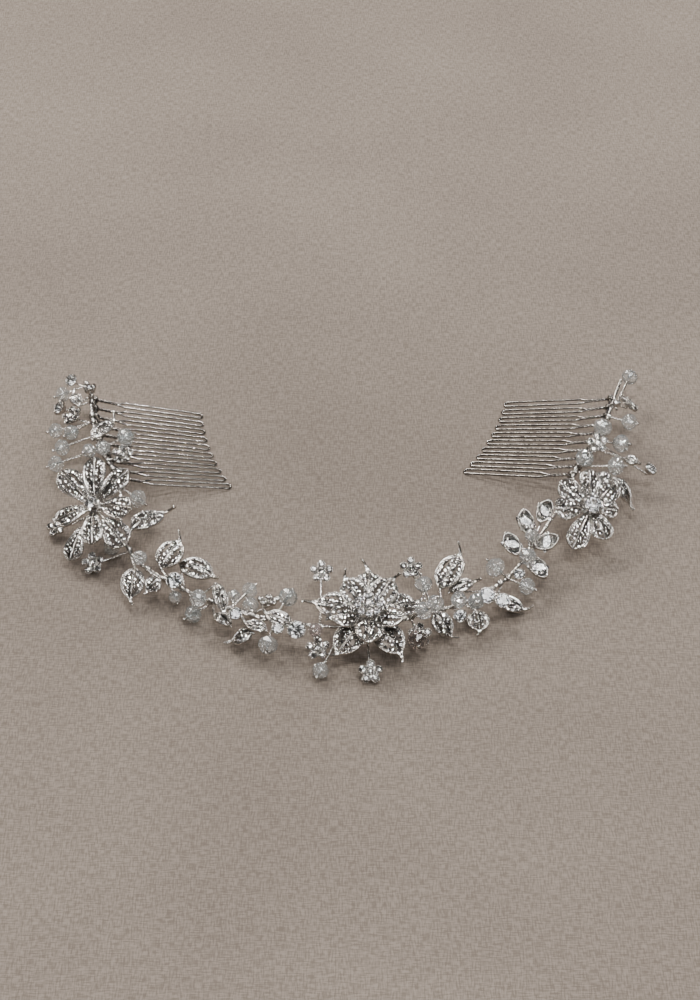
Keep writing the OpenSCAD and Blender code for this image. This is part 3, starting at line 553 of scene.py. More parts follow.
# Leaves and petals
blade = {
    "leaf": (  # share of the length, of the half width, and of the length for the height
        (0, 0.1, 0), (0.1, 0.62, 0.05), (0.24, 0.93, 0.09), (0.4, 1, 0.1), (0.56, 0.92, 0.09),
        (0.69, 0.66, 0.05), (0.79, 0.22, 0.02), (0.9, 0.1, 0.05), (1, 0.05, 0.16)),
    "petal": (
        (0, 0.16, 0), (0.1, 0.38, 0.03), (0.25, 0.58, 0.06), (0.42, 0.82, 0.08), (0.58, 0.97, 0.08),
        (0.72, 1, 0.06), (0.85, 0.86, 0.04), (0.95, 0.5, 0.02), (1, 0.12, 0.01)),
    "fullHalf": 2.2,  # half width from which rims and stones have their full size
    "rimHeight": 0.42, "rimIn": 0.26, "lineHeight": 0.2, "lineIn": 0.95, "veinHeight": 0.34,
    "plate": 0.8, "along": 36, "crown": 0.35, "tipCurl": 0.13, "tipWidth": 0.6, "brightFrom": 0.79,
    "stone": 1.5, "smallestStone": 0.75, "stonePitch": 1.52, "stonesFrom": 0.1, "stoneLift": 0.16,
    "stonesTo": {"leaf": 0.8, "petal": 0.95}, "veinGap": 0.34, "rimGap": 0.75, "grain": 0.36, "grainLift": 0.22,
    "neckWire": 0.5, "footWire": 0.6,
}


def smoothValue(table, t, column):  # cubic through the table's values
    last = len(table) - 1
    i = max(k for k in range(last) if table[k][0] <= t or k == 0)

    def slope(k):
        low, high = max(k - 1, 0), min(k + 1, last)
        return (table[high][column] - table[low][column]) / (table[high][0] - table[low][0])
    x0, x1 = table[i][0], table[i + 1][0]
    u, h = (t - x0) / (x1 - x0), x1 - x0
    return ((2 * u ** 3 - 3 * u * u + 1) * table[i][column] + (u ** 3 - 2 * u * u + u) * h * slope(i)
            + (3 * u * u - 2 * u ** 3) * table[i + 1][column] + (u ** 3 - u * u) * h * slope(i + 1))


def ridge(y, middle, width):
    return math.exp(-((y - middle) / width) ** 2)


class Leaf:  # the form of one leaf or petal in its own frame
    def __init__(self, length, width, kind):
        self.length, self.width, self.kind = length, width, kind
        self.curl = chance.choice((-1, 1)) * blade["tipCurl"] * length if kind == "leaf" else 0.0

    def halfWidth(self, t):
        wanted = smoothValue(blade[self.kind], t, 1) * self.width / 2
        return max(wanted, blade["tipWidth"] * (1 - 0.25 * max(t - 0.8, 0) / 0.2))

    def bed(self, t, y):  # the smooth surface under stones and rims
        z = smoothValue(blade[self.kind], t, 2) * self.length
        curl = self.curl * (max(t - 0.76, 0) / 0.24) ** 2
        return Vector((t * self.length, y + curl, z - blade["crown"] * y * y / self.width))

    def relief(self, y, half):  # rim, a finer line inside it, and the vein
        size = min(1.0, half / blade["fullHalf"])
        inset = half - abs(y)
        lift = blade["rimHeight"] * ridge(inset, blade["rimIn"] * size, 0.22 * size)
        if half > 1.5:
            lift += blade["lineHeight"] * ridge(inset, blade["lineIn"] * size, 0.15 * size)
        return max(lift, blade["veinHeight"] * ridge(y, 0, 0.18 * size)) if half > 0.8 else lift

    def normal(self, t, y):
        along = self.bed(min(t + 0.02, 1), y) - self.bed(max(t - 0.02, 0), y)
        across = self.bed(t, y + 0.1) - self.bed(t, y - 0.1)
        return along.cross(across).normalized()


edgeColumns = (0.0, 0.1, 0.2, 0.3, 0.42, 0.56, 0.7, 0.82, 0.95, 1.08, 1.22)
veinColumns = (0.34, 0.22, 0.11)
bedColumns = (5, 10, 11, 18, 19, 24)  # strips of the top that lie low: inside the rim and under the stones


def leafMesh(leaf, matrix):
    count = blade["along"]
    points = []
    for i in range(count + 1):
        t = i / count if leaf.kind == "leaf" else 1 - (1 - i / count) ** 1.5
        half = leaf.halfWidth(t)
        size = min(1.0, half / blade["fullHalf"])
        inner, outer = veinColumns[0] * size, half - edgeColumns[-1] * size
        right = [half - e * size for e in edgeColumns]
        right += [inner + (outer - inner) * 0.5] + [v * size for v in veinColumns]
        top = [-y for y in right] + [0.0] + right[::-1]
        points += [leaf.bed(t, y) + Vector((0, 0, leaf.relief(y, half))) for y in top]
        thick = blade["plate"] * (0.55 + 0.45 * size)
        under = [(half - 0.02, 0.3), (half * 0.93, 0.62), (half * 0.5, 0.95), (0.0, 1.0)]
        under += [(-y, share) for y, share in under[-2::-1]]
        points += [leaf.bed(t, y) - Vector((0, 0, thick * share)) for y, share in under]
    width = len(points) // (count + 1)
    mesh = metalAt(matrix, points, skin(width, count + 1))
    # the low strips of the top get the bed plate, darkened partly by oxide and partly by painted shade
    mesh.materials.append(oxideAndPaintedShadeBed)
    bedRows = count if leaf.kind == "petal" else int(blade["brightFrom"] * count)  # a leaf's tip is bright all round
    for k, polygon in enumerate(mesh.polygons):
        if k < bedRows * width and k % width in bedColumns:
            polygon.material_index = 1
    return mesh


def leafStones(leaf, matrix):  # spots of the close-set stones, in staggered rows, and of the grains between them
    stones, grains = [], []
    pitch = blade["stonePitch"]
    first, last = blade["stonesFrom"], blade["stonesTo"][leaf.kind]
    for step in range(int((last - first) * leaf.length / (pitch / 2)) + 1):
        t = first + step * pitch / 2 / leaf.length
        half = leaf.halfWidth(t)
        room = half - blade["rimGap"] * min(1.0, half / blade["fullHalf"]) - blade["veinGap"]
        d = min(blade["stone"], room)
        if d < blade["smallestStone"] or (1 - t) * leaf.length < d / 2 + 0.6:
            continue
        rows = 1 + int((room - d) / (0.87 * pitch))
        gap = (room - d) / (rows - 1) if rows > 1 else 0.0
        for line in range(step % 2, rows, 2):
            out = blade["veinGap"] + d / 2 + line * gap + (0.0 if rows > 1 else (room - d) / 2)
            for y in (-out, out):
                normal = leaf.normal(t, y)
                spot = leaf.bed(t, y) + normal * blade["stoneLift"]
                stones.append((matrix @ shiftBy(spot) @ pointing(normal), d * chance.uniform(0.93, 1.0)))
                spot = leaf.bed(t + pitch / 2 / leaf.length, y) + normal * blade["grainLift"]
                grains.append((matrix @ shiftBy(spot) @ pointing(normal), blade["grain"]))
    return stones, grains


leaves = (  # name, base, heading, rise, length, width, winding moved by
    ("left_leaf_1", (-95.5, 33.5, 16.5), 60, -5, 17, 6.5, 0),
    ("left_leaf_2", (-102.9, 57, 14), 112, 10, 8, 5, 0),
    ("left_leaf_3", (-78.2, -11.6, 11.2), 44, -6, 18.5, 9, 1),
    ("left_leaf_4", (-75.5, -31, 10), 261, -32, 14, 8.5, -1),
    ("left_leaf_5", (-66.85, -35.65, 9.4), 217, -35, 7.5, 7.5, -1),
    ("left_leaf_6", (-66.5, -31, 10), 56, 19, 15, 10, 0),
    ("left_leaf_7", (-60, -28, 9.5), -23, -8, 16, 10, 1),
    ("left_leaf_8", (-46.5, -43.5, 14), -72, -24, 14, 5, -1),
    ("left_leaf_9", (-41, -56.5, 6), 137, 0, 10, 5, -1),
    ("left_leaf_10", (-33, -62, 8), 174, -34, 11, 8, -1),
    ("left_leaf_11", (-28.5, -62.5, 9.5), 155, 0, 10, 5.5, 0),
    ("left_leaf_12", (-20, -59.5, 9.3), 160, 12, 12, 7, 0),
    ("right_leaf_1", (31.3, -42.2, 10.2), 57, 22, 18, 9.5, 0),
    ("right_leaf_2", (34.5, -42, 8.5), 22, 9, 12, 6, 1),
    ("right_leaf_3", (29, -54, 10), -48, -36, 12, 8, 0),
    ("right_leaf_4", (44, -49.5, 6.5), -83, -30, 9, 8, 0),
    ("right_leaf_5", (50.5, -41.5, 4.5), -15, -14, 13.5, 7.5, 1),
    ("right_leaf_6", (94.5, 12.5, 17), 225, -5, 11, 6.5, -1),
    ("right_leaf_7", (96.5, 14, 14), -40, -48, 13.5, 6, 0),
    ("right_leaf_8", (101.8, 28.3, 11.7), -24, -10, 6.5, 5, 0),
)
stoneRows = {}  # spots of the small stones, by group


def dressed(leaf, matrix, group):  # the leaf's plate and grains; its stones wait for their group
    stones, grains = leafStones(leaf, matrix)
    stoneRows.setdefault(group, []).extend(stones)
    return [leafMesh(leaf, matrix), scatter(grains, grainShape, platedMetal)]


for number, (name, base, heading, rise, length, width, move) in enumerate(leaves):
    base = Vector(base)
    matrix = shiftBy(base) @ turnBy(heading) @ turnBy(-rise, "Y")
    s = windingNear(base, between, move)
    foot = base + Vector((0, 0, -0.4))
    plate, grains = dressed(Leaf(length, width, "leaf"), matrix, name.split("_")[0] + "_leaf_stones")
    finishPiece(name, [
        plate, vineWindings([s], number), stalks([[stalkStart(s, base), foot, matrix @ Vector((1.2, 0, -0.3))]]),
        scatter([(shiftBy(foot), vine["ball"])], ballShape, platedMetal), grains])
print("leaves made")


def petalSet(rows, hub, flowerAt, group, kind):  # petals as spokes: angle, length, width, rise, base radius
    meshes, necks = [], []
    for angle, length, width, rise, base in rows:
        spoke = flowerAt @ shiftBy((0, 0, hub)) @ turnBy(angle)
        meshes += dressed(Leaf(length, width, kind), spoke @ shiftBy((base, 0, 0)) @ turnBy(-rise, "Y"), group)
        if base > 4:  # a petal that starts outside the middle disc has a neck
            necks.append([spoke @ Vector((1, 0, -1)), spoke @ Vector((base + 0.5, 0, -0.4))])
    return meshes + ([wires(necks, blade["neckWire"], sides=8)] if necks else [])


def discMesh(radius, low, high, matrix, sides=28):
    edge, bevel = radius * 0.9, 0.15
    return metalAt(matrix, *lathe([(edge, low), (radius, low + bevel), (radius, high - bevel), (edge, high)], sides))


claw = {"course": ((0.47, -0.36), (0.585, -0.06), (0.6, 0.07), (0.53, 0.16), (0.43, 0.19)), "wire": 0.075}


def setting(rows):  # cups with four claws for round stones: matrix and diameter
    small = min(d for _, d in rows)
    claws = [[matrix @ polar(radius * d, turn, height * d) for radius, height in claw["course"]]
             for matrix, d in rows for turn in (45, 135, 225, 315)]
    return [scatter(rows, cupShape, platedMetal), wires(claws, claw["wire"] * small, step=0.12 * small, sides=5)]


def roundStones(rows, seed):
    return [scatter(rows, crownShape, crownGlass, seed=seed), scatter(rows, pavilionShape, silverFoil, seed=seed)]


# Main flower in two layers
flower = {
    "at": (6.5, -58, 14), "lean": 15, "face": 270, "base": 3.5, "disc": 4.5,
    "lowerHub": -2, "lowerReach": 22, "lowerPetals": ((90, 1), (18, 0.95), (-54, 1), (-126, 1), (162, 1.05)),
    "upperHub": 0, "upperReach": 17, "upperPetals": ((54, 1), (126, 1), (198, 1), (270, 1), (342, 0.9)),
    "stamens": 4.4, "ring": 3.7, "ringStone": 2.3, "centreStone": 3.6,
}
flowerAt = placed(flower["at"], flower["lean"], flower["face"])
lowerPetals = [(a, flower["lowerReach"] * share - flower["base"], 10.5, -6, flower["base"])
               for a, share in flower["lowerPetals"]]
upperPetals = [(a, flower["upperReach"] * share - flower["base"], 10, 15, flower["base"])
               for a, share in flower["upperPetals"]]
feet, footWindings = [], []
for side in (-3, 3):
    foot = flowerAt @ Vector((side, 0, flower["lowerHub"] - 0.8))
    footWindings.append(windingNear(foot, between))
    feet.append([stalkStart(footWindings[-1], foot), foot])
finishPiece("flower_lower_petals", petalSet(lowerPetals, flower["lowerHub"], flowerAt, "flower_pave", "leaf") + [
    discMesh(flower["disc"], -3, -2, flowerAt), wires(feet, blade["footWire"], sides=8),
    vineWindings(footWindings, 61)])
finishPiece("flower_upper_petals", petalSet(upperPetals, flower["upperHub"], flowerAt, "flower_pave", "leaf") + [
    discMesh(flower["disc"], -1, 0, flowerAt)])

ringSpots = [(flowerAt @ shiftBy(polar(flower["ring"], 45 * k, flower["stamens"])), flower["ringStone"])
             for k in range(8)]
centreSpot = [(flowerAt @ shiftBy((0, 0, flower["stamens"])), flower["centreStone"])]
cone = [(0.8, -2.4), (0.8, 2.4), (2.6, 2.5), (3.0, 3.2), (3.3, 3.7), (2.0, 3.9)]
finishPiece("flower_centre", [metalAt(flowerAt, *lathe(cone, 24)), discMesh(1.4, -3.95, -3.1, flowerAt, 20)]
            + setting(ringSpots) + setting(centreSpot))
finishPiece("flower_stones", roundStones(ringSpots, 11) + roundStones(centreSpot, 12))
print("main flower made")

# Side flowers: name, place, lean, face, stone, and the petals as spokes
sideFlower = {"hub": -2.2, "back": 3.4, "discLow": -3.6, "discHigh": -1.8, "discRim": 0.6, "stoneHeight": 0.6}
sideFlowers = (
    ("left_flower", (-92.5, -5, 18), 25, 225, 4.5, (
        (128, 17, 9.5, 15, 2), (80, 16, 9, 24, 2), (33, 16, 9, 14, 2), (-20, 14, 9, 5, 2),
        (-92, 14, 8.5, 0, 2), (195, 13, 8, 5, 2), (242, 13, 8, -12, 9), (-58, 14, 10, -12, 7))),
    ("right_flower", (87, -5, 17), 30, 300, 6, (
        (150, 12.5, 9, 5, 2), (192, 12, 9, 0, 2), (250, 15.5, 8.5, -8, 2), (296, 11.5, 8.5, 5, 2),
        (50, 11.5, 9, 10, 2), (98, 12, 8, 15, 2), (0, 8, 7, 8, 2))),
)
for name, at, lean, face, stone, rows in sideFlowers:
    matrix = placed(at, lean, face)
    back = Vector(at) - facing(lean, face) * sideFlower["back"]
    s = windingNear(back, between)
    spot = [(matrix @ shiftBy((0, 0, sideFlower["stoneHeight"])), stone)]
    disc = discMesh(stone / 2 + sideFlower["discRim"], sideFlower["discLow"], sideFlower["discHigh"], matrix)
    finishPiece(name + "_petals", petalSet(rows, sideFlower["hub"], matrix, name + "_pave", "petal") + [
        disc, vineWindings([s], 67), wires([[stalkStart(s, back), back]], blade["footWire"], sides=8)]
        + setting(spot))
    finishPiece(name + "_stone", roundStones(spot, 13))
print("side flowers made")

# The close-set stones, which stand for no solid
for group, rows in stoneRows.items():
    finishPiece(group, [scatter(rows, paveShape, paveStone, tilt=0.22, seed=5)], solid=False)
print("close-set stones made:", sum(len(rows) for rows in stoneRows.values()))

# Rosettes, single stones and beads of the four stretches, from the left end to the right
rosette = {"stone": 2.4, "ring": 2.8, "depth": 1.46, "plate": 0.5, "post": 1.0}
single = {"depth": 0.42, "post": 1.65, "reach": 0.45}  # depth and reach are shares of the diameter
rosettes = (  # place, lean, face
    (((-106.5, -2, 4.5), 35, 215), ((-91.5, -23, 5), 45, 250), ((-84, 27, 14.5), 20, 270), ((-105, 51, 14), 30, 200)),
    (((-28.5, -42, 5), 20, 90), ((-10, -33, 10), 30, 270), ((-11, -66.5, 5), 35, 260)),
    (((7, -77, 3.8), 35, 270), ((21.5, -30, 9), 25, 270), ((24, -61, 6), 35, 270)),
    (((106, 56, 16), 40, 20), ((91.5, 30.5, 17), 25, 250)),
)
singles = (  # place, lean, face, diameter
    (((-107.5, 75.5, 12), 40, 230, 4.2), ((-99, 64.2, 17.2), 25, 100, 4.5), ((-111, 61, 10), 50, 200, 4.6)),
    (((-61, -41, 13), 30, 270, 5.2), ((-39.3, -55.3, 10.6), 25, 270, 4), ((-24.6, -64.2, 11.9), 25, 270, 3.5),
     ((-18.2, -65, 12), 35, 270, 5.4)),
    (((47.5, -45.5, 10), 30, 270, 5.2), ((38, -53.6, 8), 35, 270, 4), ((53, -47.5, 9.5), 30, 270, 4.6),
     ((59.5, -33, 9), 20, 270, 3.6)),
    (((111.5, 25.3, 9), 30, 340, 4), ((101, 56.5, 16), 20, 90, 3)),
)
clear, cool, blush, smoky = "#fafcfb", "#eef3f3", "#eaddda", "#94877f"
beads = (  # place of the middle, diameter, tint, winding moved by
    (((-110.5, 70.5, 9), 6, clear, 0), ((-111, 48, 9), 6, clear, 0), ((-104.5, 43, 12), 6, cool, 0),
     ((-107.5, 36.5, 10), 6.4, clear, 0), ((-109.5, 30.5, 7), 6.4, clear, 0), ((-83.5, 36.5, 15), 7, cool, 0),
     ((-96.5, 29, 14.5), 5.6, clear, 0), ((-91, 27, 17.5), 6, clear, 0), ((-77.5, 8.5, 8.5), 7, clear, 0),
     ((-85.5, -13.5, 4.4), 6.4, cool, 0), ((-74, -28.5, 12.5), 5.4, clear, 0)),
    (((-61, -42.5, 6.5), 4.8, clear, 0), ((-52.5, -48.5, 11.5), 6.4, clear, 0), ((-54.5, -48.5, 4), 6.4, cool, 0),
     ((-40.6, -42.5, 7), 5, clear, 0), ((-35, -40.5, 8), 5.8, clear, 0), ((-34.6, -46.3, 6.2), 6, clear, 0),
     ((-28, -66, 6), 7, clear, 0), ((-11.8, -64, 11), 4.8, blush, 0), ((-10, -76, 3.5), 6, clear, 1),
     ((-21.5, -44, 8), 7, cool, 0)),
    (((22.9, -67.2, 9.2), 7, smoky, 0), ((25.5, -44, 14), 6.4, clear, 0), ((25.2, -56.4, 12.9), 6.4, clear, 0),
     ((29.5, -51.5, 12), 6.2, clear, 0), ((37.5, -50.5, 12.5), 5.8, clear, 0), ((43.5, -50, 11.5), 5.8, cool, 0),
     ((51.2, -30, 9.3), 7.4, clear, 0), ((62, -37.5, 7), 6.4, clear, 0)),
    (((97.5, 19.5, 15), 7, clear, 0), ((100.5, 32, 15.5), 7, clear, 0), ((94, 38.5, 18), 7.4, clear, 0),
     ((86, 21, 17.5), 7, cool, 0), ((105, 47, 14), 6.4, clear, 0), ((108, 77.5, 12), 6.4, clear, 0)),
)


def beadOn(foot, middle, diameter, tint):  # the bead's spot on the line from the foot, and its wire's far end
    way = (middle - foot).normalized()
    end = middle + way * (beadHalf * diameter + vine["pinEnd"])
    return (shiftBy(middle) @ pointing(way), diameter, paint(tint)), end


for k, name in enumerate(("left_end", "left_vine", "right_vine", "right_end")):
    places, straight, plates, stoneSpots, ballSpots, beadSpots, clusterSpots = [], [], [], [], [], [], []
    for at, lean, face in rosettes[k]:
        matrix = placed(at, lean, face)
        back = Vector(at) - facing(lean, face) * (rosette["depth"] + rosette["post"])
        places.append(windingNear(back))
        straight.append([stalkStart(places[-1], back), back, matrix @ Vector((0, 0, -1))])
        ballSpots.append((shiftBy(back), vine["ball"]))
        plates.append(discMesh(rosette["ring"], -rosette["depth"], rosette["plate"] - rosette["depth"], matrix, 20))
        clusterSpots.append((matrix, rosette["stone"]))
        clusterSpots += [(matrix @ shiftBy(polar(rosette["ring"], 90 + 72 * n)), rosette["stone"]) for n in range(5)]
    for at, lean, face, d in singles[k]:
        back = Vector(at) - facing(lean, face) * (single["depth"] * d + single["post"])
        places.append(windingNear(back))
        straight.append([stalkStart(places[-1], back), back, Vector(at) - facing(lean, face) * single["reach"] * d])
        ballSpots.append((shiftBy(back), vine["ball"]))
        stoneSpots.append((placed(at, lean, face), d))
    for at, d, tint, move in beads[k]:
        middle = Vector(at)
        places.append(windingNear(middle, 0, move))
        foot = stalkStart(places[-1], middle)
        bead, end = beadOn(foot, middle, d, tint)
        beadSpots.append(bead)
        straight.append([foot, end])
        ballSpots.append((shiftBy(end), vine["beadBall"]))
    finishPiece(name + "_twigs", plates + [
        vineWindings(sorted(set(places)), 71 + k), stalks(straight), scatter(ballSpots, ballShape, platedMetal)]
        + setting(clusterSpots) + setting(stoneSpots))
    finishPiece(name + "_stones", [scatter(clusterSpots, paveShape, paveStone, tilt=0.15, seed=21 + k)]
                + roundStones(stoneSpots, 31 + k))
    finishPiece(name + "_beads", [scatter(beadSpots, crystalShape, cutCrystal, seed=41 + k)])
print("stretches made")

# Sprig of marquise stones: place of each stone's middle in the sprig's frame, and its turn
sprig = {"at": (64, -22, 11), "lean": 30, "face": 270, "back": 1.9, "armWire": 0.4, "clawWire": 0.22,
         "stones": ((-6.7, 1.7, 117), (-1.5, 10.1, 98), (5.7, 2.5, 24), (2.4, -7, -55), (5.3, 14, 64)),
         "beads": (((0.3, 3.9, 3.8), 5.4, clear), ((-1.4, -4.6, 4.5), 6.4, clear))}
sprigAt = placed(sprig["at"], sprig["lean"], sprig["face"])


def ovalCup(matrix):  # pointed cup with a thin wall round the stone
    count = 32
    levels = [(0.35, -0.85), (0.45, -0.6), (0.45, 1.0), (0.36, 1.12), (0.2, 1.08), (0.15, 0.2), (-0.9, -0.5)]
    points = [ovalPoint(-k / count, grow) + Vector((0, 0, height)) for grow, height in levels for k in range(count)]
    return metalAt(matrix, points, skin(count, len(levels)))


marquiseSpots = [sprigAt @ shiftBy((x, y, 0)) @ turnBy(a) for x, y, a in sprig["stones"]]
arms = [[sprigAt @ Vector((0, 0, -1.8)), sprigAt @ Vector((x, y, -1.8))] for x, y, _ in sprig["stones"]]
claws = []
for matrix in marquiseSpots:
    for x, y in ((1.0, 0), (-1.0, 0), (0.3, 1), (0.3, -1), (-0.3, 1), (-0.3, -1)):
        edge = Vector((x * (marquise["length"] / 2 + 0.5), y * (marquise["width"] / 2 + 0.25), 0))
        edge *= 1.0 if y else 1.06  # a little further out at the two points
        claws.append([matrix @ (edge * reach + Vector((0, 0, height)))
                      for reach, height in ((1, -0.6), (1, 0.8), (0.93, 1.25), (0.8, 1.2))])
back = Vector(sprig["at"]) - facing(sprig["lean"], sprig["face"]) * sprig["back"]
s = windingNear(back, between)
foot = Vector((0, 0, -1.5))
beadSpots, pins, balls = [], [], []
for at, d, tint in sprig["beads"]:
    (matrix, d, tint), end = beadOn(foot, Vector(at), d, tint)
    beadSpots.append((sprigAt @ matrix, d, tint))
    pins.append([sprigAt @ foot, sprigAt @ end])
    balls.append((shiftBy(sprigAt @ end), vine["beadBall"]))
finishPiece("marquise_cups", [ovalCup(matrix) for matrix in marquiseSpots] + [
    wires(arms, sprig["armWire"], sides=8), wires(claws, sprig["clawWire"], step=0.35),
    stalks([[stalkStart(s, back), back]] + pins), vineWindings([s], 83),
    scatter(balls, ballShape, platedMetal), discMesh(1, -2.3, -0.7, sprigAt, 16)])
finishPiece("marquise_stones", [scatter([(matrix @ shiftBy((0, 0, 0.05)), 1.0)], shape, material)
                                for matrix in marquiseSpots
                                for shape, material in ((marquiseCrown, paveStone), (marquisePavilion, silverFoil))])
finishPiece("sprig_beads", [scatter(beadSpots, crystalShape, cutCrystal, seed=51)])
print("sprig made")

# Combs: the slant turns all teeth, and those away from the middle turn a little more towards it
comb = {
    "teeth": 10, "pitch": 5.5, "wire": 0.8, "legGap": 2.6, "toothLength": 32, "neck": 9, "spine": 1.6,
    "sag": 2.5, "spineHeight": 9.5, "kinkHeight": 7, "tipHeight": 0.613, "fan": 3, "converge": 4,
    "neckStrand": 0.38, "neckOffset": 0.36, "neckTwist": 3.0,
    "eyeTurns": 2.6, "eyeRadius": 1.25, "eyeLength": 1.5, "eyeWire": 0.36,
    "bindingRadius": 1.25, "bindingTurns": 4, "bindingLength": 1.5, "bindingWire": 0.24,
}
combs = (  # name, middle of the back wire, heading, places of the bindings, slant
    ("left_comb", (-91, 42.5, 0), 15.5, (11, -11, -22), -9.5),
    ("right_comb", (90.5, 44, 0), 158, (16.5, -5.5), 6.5),
)
spineHalf = comb["pitch"] * comb["teeth"] / 2 - 1
spineRadius = (spineHalf ** 2 + comb["sag"] ** 2) / (2 * comb["sag"])


def spinePoint(y):
    x = -(math.sqrt(spineRadius ** 2 - y * y) - (spineRadius - comb["sag"]))
    return Vector((x, y, comb["spineHeight"]))


def bindingPath(combAt, y):  # helix round the comb's back wire and the vine above it
    low = combAt @ spinePoint(y)
    samples = [1 + 0.5 * k for k in range(int((stemLengths[-1] - 2) / 0.5) + 1)]
    s = min(samples, key=lambda sample: (pathAt(sample) - low).length)
    along = pathDirection(s)
    up = pathAt(s) - low
    up -= along * up.dot(along)
    reach, up = up.length, up.normalized()
    side = along.cross(up)
    radius, turns, count = comb["bindingRadius"], comb["bindingTurns"], 20
    path = []
    for k in range(turns * count + 1):
        a = math.tau * k / count
        centre = reach if math.cos(a) > 0 else 0.0
        p = low + up * (centre + radius * math.cos(a)) + side * radius * math.sin(a)
        path.append(p + along * (k / (turns * count) - 0.5) * comb["bindingLength"])
    return path


# One looped tooth in its own frame: its neck, legs that fan out from the kink, and a round bend at the tip
gap = comb["legGap"] / 2
kink = Vector((comb["neck"], 0, comb["kinkHeight"]))
tip = Vector((kink.x + comb["toothLength"] - gap, 0, comb["tipHeight"]))
way = (tip - kink).normalized()
fanEnd = kink.lerp(tip, comb["fan"] / (comb["toothLength"] - gap))
across = Vector((0, gap, 0))
leg = [kink - way * 0.6 + Vector((0.2, 0.42, 0)), kink.lerp(fanEnd, 0.35) + Vector((0, 0.75, 0)),
       kink.lerp(fanEnd, 0.7) + Vector((0, 1.15, 0)), fanEnd + across]
leg += [fanEnd.lerp(tip, k / 4) + across for k in range(1, 5)]
bend = [tip + across * math.cos(math.pi * k / 8) + way * math.sin(math.pi * k / 8) * gap for k in range(1, 8)]
loop = smoothPath(leg + bend + [Vector((p.x, -p.y, p.z)) for p in reversed(leg)], 3)
neck = [Vector((0.9, 0, comb["spineHeight"])), kink]

for name, at, heading, bindings, slant in combs:
    combAt = shiftBy(at) @ turnBy(heading)
    spine = [combAt @ spinePoint(spineHalf * (k / 24 - 1)) for k in range(49)]
    finishPiece(name + "_spine", [wires([spine], comb["spine"] / 2, step=1.0, sides=12, material=drawnSteel)])
    necks, loops, eyes = [], [], []
    for i in range(comb["teeth"]):
        y = (i - (comb["teeth"] - 1) / 2) * comb["pitch"]
        onSpine = spinePoint(y)
        toothAt = combAt @ shiftBy((onSpine.x, y, 0)) @ turnBy(slant - comb["converge"] * y / spineHalf)
        loops.append([toothAt @ p for p in loop])
        necks.append([toothAt @ p for p in neck])
        slope = Vector((y / math.sqrt(spineRadius ** 2 - y * y), 1, 0)).normalized()
        eyes.append((combAt @ shiftBy(onSpine) @ pointing(slope), 1.0))
    finishPiece(name + "_teeth", [
        wires(loops, comb["wire"] / 2, step=0.8, sides=8, material=drawnSteel),
        wires(necks, comb["neckStrand"], 2, comb["neckOffset"], comb["neckTwist"], step=0.4, sides=8,
              material=drawnSteel),
        windings(eyes, comb["eyeTurns"], comb["eyeRadius"], comb["eyeLength"], comb["eyeWire"], 91, drawnSteel)])
    finishPiece(name + "_bindings", [
        wires([bindingPath(combAt, y) for y in bindings], comb["bindingWire"], step=0.4)])
print("combs made")

# Plain floor: matt linen-like sheet of very fine threads, faintly cloudy, and a little darker in the middle from
# painted shade that stands for the soft shadow round the piece
cloth = {"light": "#7f746a", "dark": "#73685f", "cloud": 0.12, "middle": "#e8e7e6", "paintedShadeReach": 0.24,
         "thread": 0.0005, "threadDark": "#c8c5c0", "threadLight": "#ffffff", "threadDepth": 0.0001, "half": 2.5}
linen, tree, coords = newMaterial("matt_linen_floor")
clouds = addNode(tree, "ShaderNodeTexNoise", {"Vector": coords, "Scale": 1 / cloth["cloud"], "Detail": 3.0})
cloudColour = addNode(tree, "ShaderNodeValToRGB", {0: clouds}, [(0.3, cloth["dark"]), (0.7, cloth["light"])])
# painted shade: a spherical gradient darkens the floor gently towards the middle, under the piece
spread = addNode(tree, "ShaderNodeMapping", {"Vector": coords, "Scale": [1 / cloth["paintedShadeReach"]] * 3})
middle = addNode(tree, "ShaderNodeTexGradient", {"Vector": spread}, gradient_type="SPHERICAL")
paintedShadeOnFloor = addNode(tree, "ShaderNodeValToRGB", {0: middle}, [(0.0, "#ffffff"), (0.75, cloth["middle"])])
threads = []
for stretched in ((0.16, 1.0, 1.0), (1.0, 0.16, 1.0)):
    stretch = addNode(tree, "ShaderNodeMapping", {"Vector": coords, "Scale": stretched})
    threads.append(addNode(tree, "ShaderNodeTexNoise", {
        "Vector": stretch, "Scale": 1 / cloth["thread"], "Detail": 1.0}))
weave = addNode(tree, "ShaderNodeMath", {0: threads[0], 1: threads[1]}, operation="MULTIPLY")
weaveShade = addNode(tree, "ShaderNodeValToRGB", {0: weave}, [
    (0.14, cloth["threadDark"]), (0.36, cloth["threadLight"])])
colour = cloudColour.outputs[0]
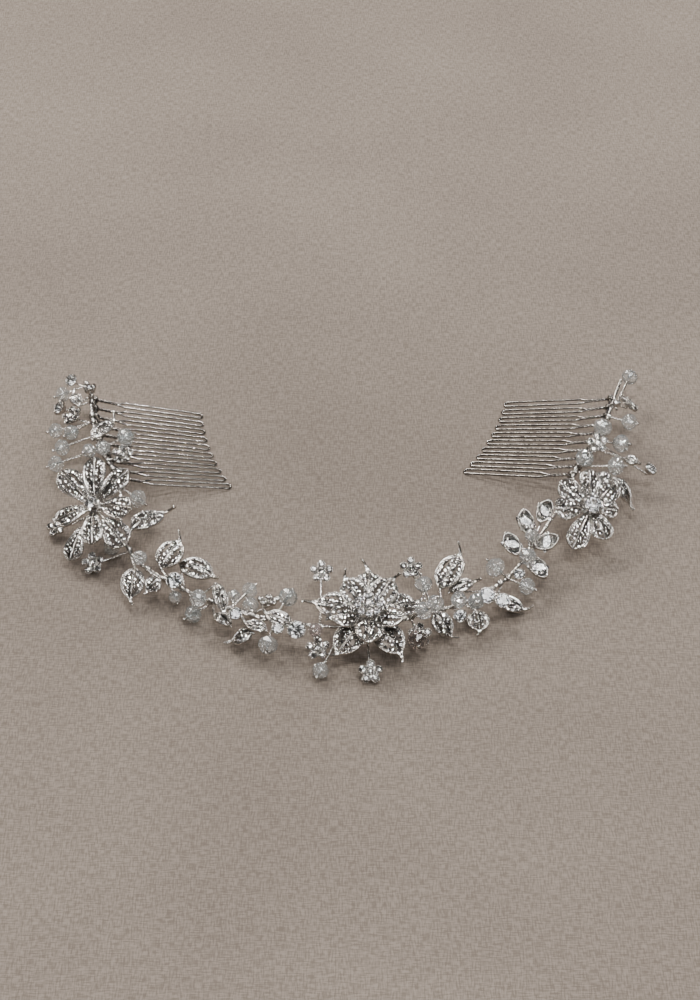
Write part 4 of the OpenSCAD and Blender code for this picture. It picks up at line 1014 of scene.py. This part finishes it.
for shade in (paintedShadeOnFloor, weaveShade):
    colour = addNode(tree, "ShaderNodeMix", {
        "Factor": 1.0, 6: colour, 7: shade}, data_type="RGBA", blend_type="MULTIPLY").outputs[2]
bump = addNode(tree, "ShaderNodeBump", {"Height": weave, "Strength": 0.4, "Distance": cloth["threadDepth"]})
endMaterial(tree, {"Base Color": colour, "Roughness": 0.92, "Normal": bump})
corners = [(x * cloth["half"], y * cloth["half"], 0) for x, y in ((-1, -1), (1, -1), (1, 1), (-1, 1))]
floor = bpy.data.objects.new("floor", meshOf("floor", corners, [(0, 1, 2, 3)], linen))
sceneObjects.link(floor)

# Soft studio light from behind on the left, and small lamps that the cut stones throw back
studio = {
    "sky": "#d9d6d2", "skyStrength": 0.06, "sparkSize": (0.06, 0.06), "sparkPower": 2.6,
    "sparks": ((0.35, -0.3, 1.1), (-0.4, -0.5, 1.0), (0.15, 0.75, 0.9), (0.8, 0.3, 0.9), (-0.15, 0.35, 1.2),
               (-0.9, 0.1, 0.7), (0.5, 0.9, 0.5), (0.1, -0.8, 0.9)),
}
world = bpy.data.worlds.new("studio")
bpy.context.scene.world = world
world.use_nodes = True
world.node_tree.nodes["Background"].inputs["Color"].default_value = paint(studio["sky"])
world.node_tree.nodes["Background"].inputs["Strength"].default_value = studio["skyStrength"]


def softbox(name, at, size, power, colour="#ffffff"):
    light = bpy.data.lights.new(name, "AREA")
    light.shape, light.size, light.size_y = "RECTANGLE", size[0], size[1]
    light.energy, light.color = power, paint(colour)[:3]
    lamp = bpy.data.objects.new(name, light)
    lamp.location = at
    lamp.rotation_euler = (-Vector(at)).to_track_quat("-Z", "Y").to_euler()
    sceneObjects.link(lamp)


softbox("key", (-0.65, 1.04, 1.24), (0.65, 0.52), 33, "#fffaf4")
softbox("overhead", (0.15, -0.25, 1.3), (0.4, 0.5), 11.5)
softbox("fill", (0.7, -0.9, 0.8), (0.3, 0.3), 5)
for number, at in enumerate(studio["sparks"]):
    softbox("spark_%d" % (number + 1), at, studio["sparkSize"], studio["sparkPower"])

for shape in shapes:
    bpy.data.objects.remove(shape)
print("floor and light made, pieces:", len(pieces))
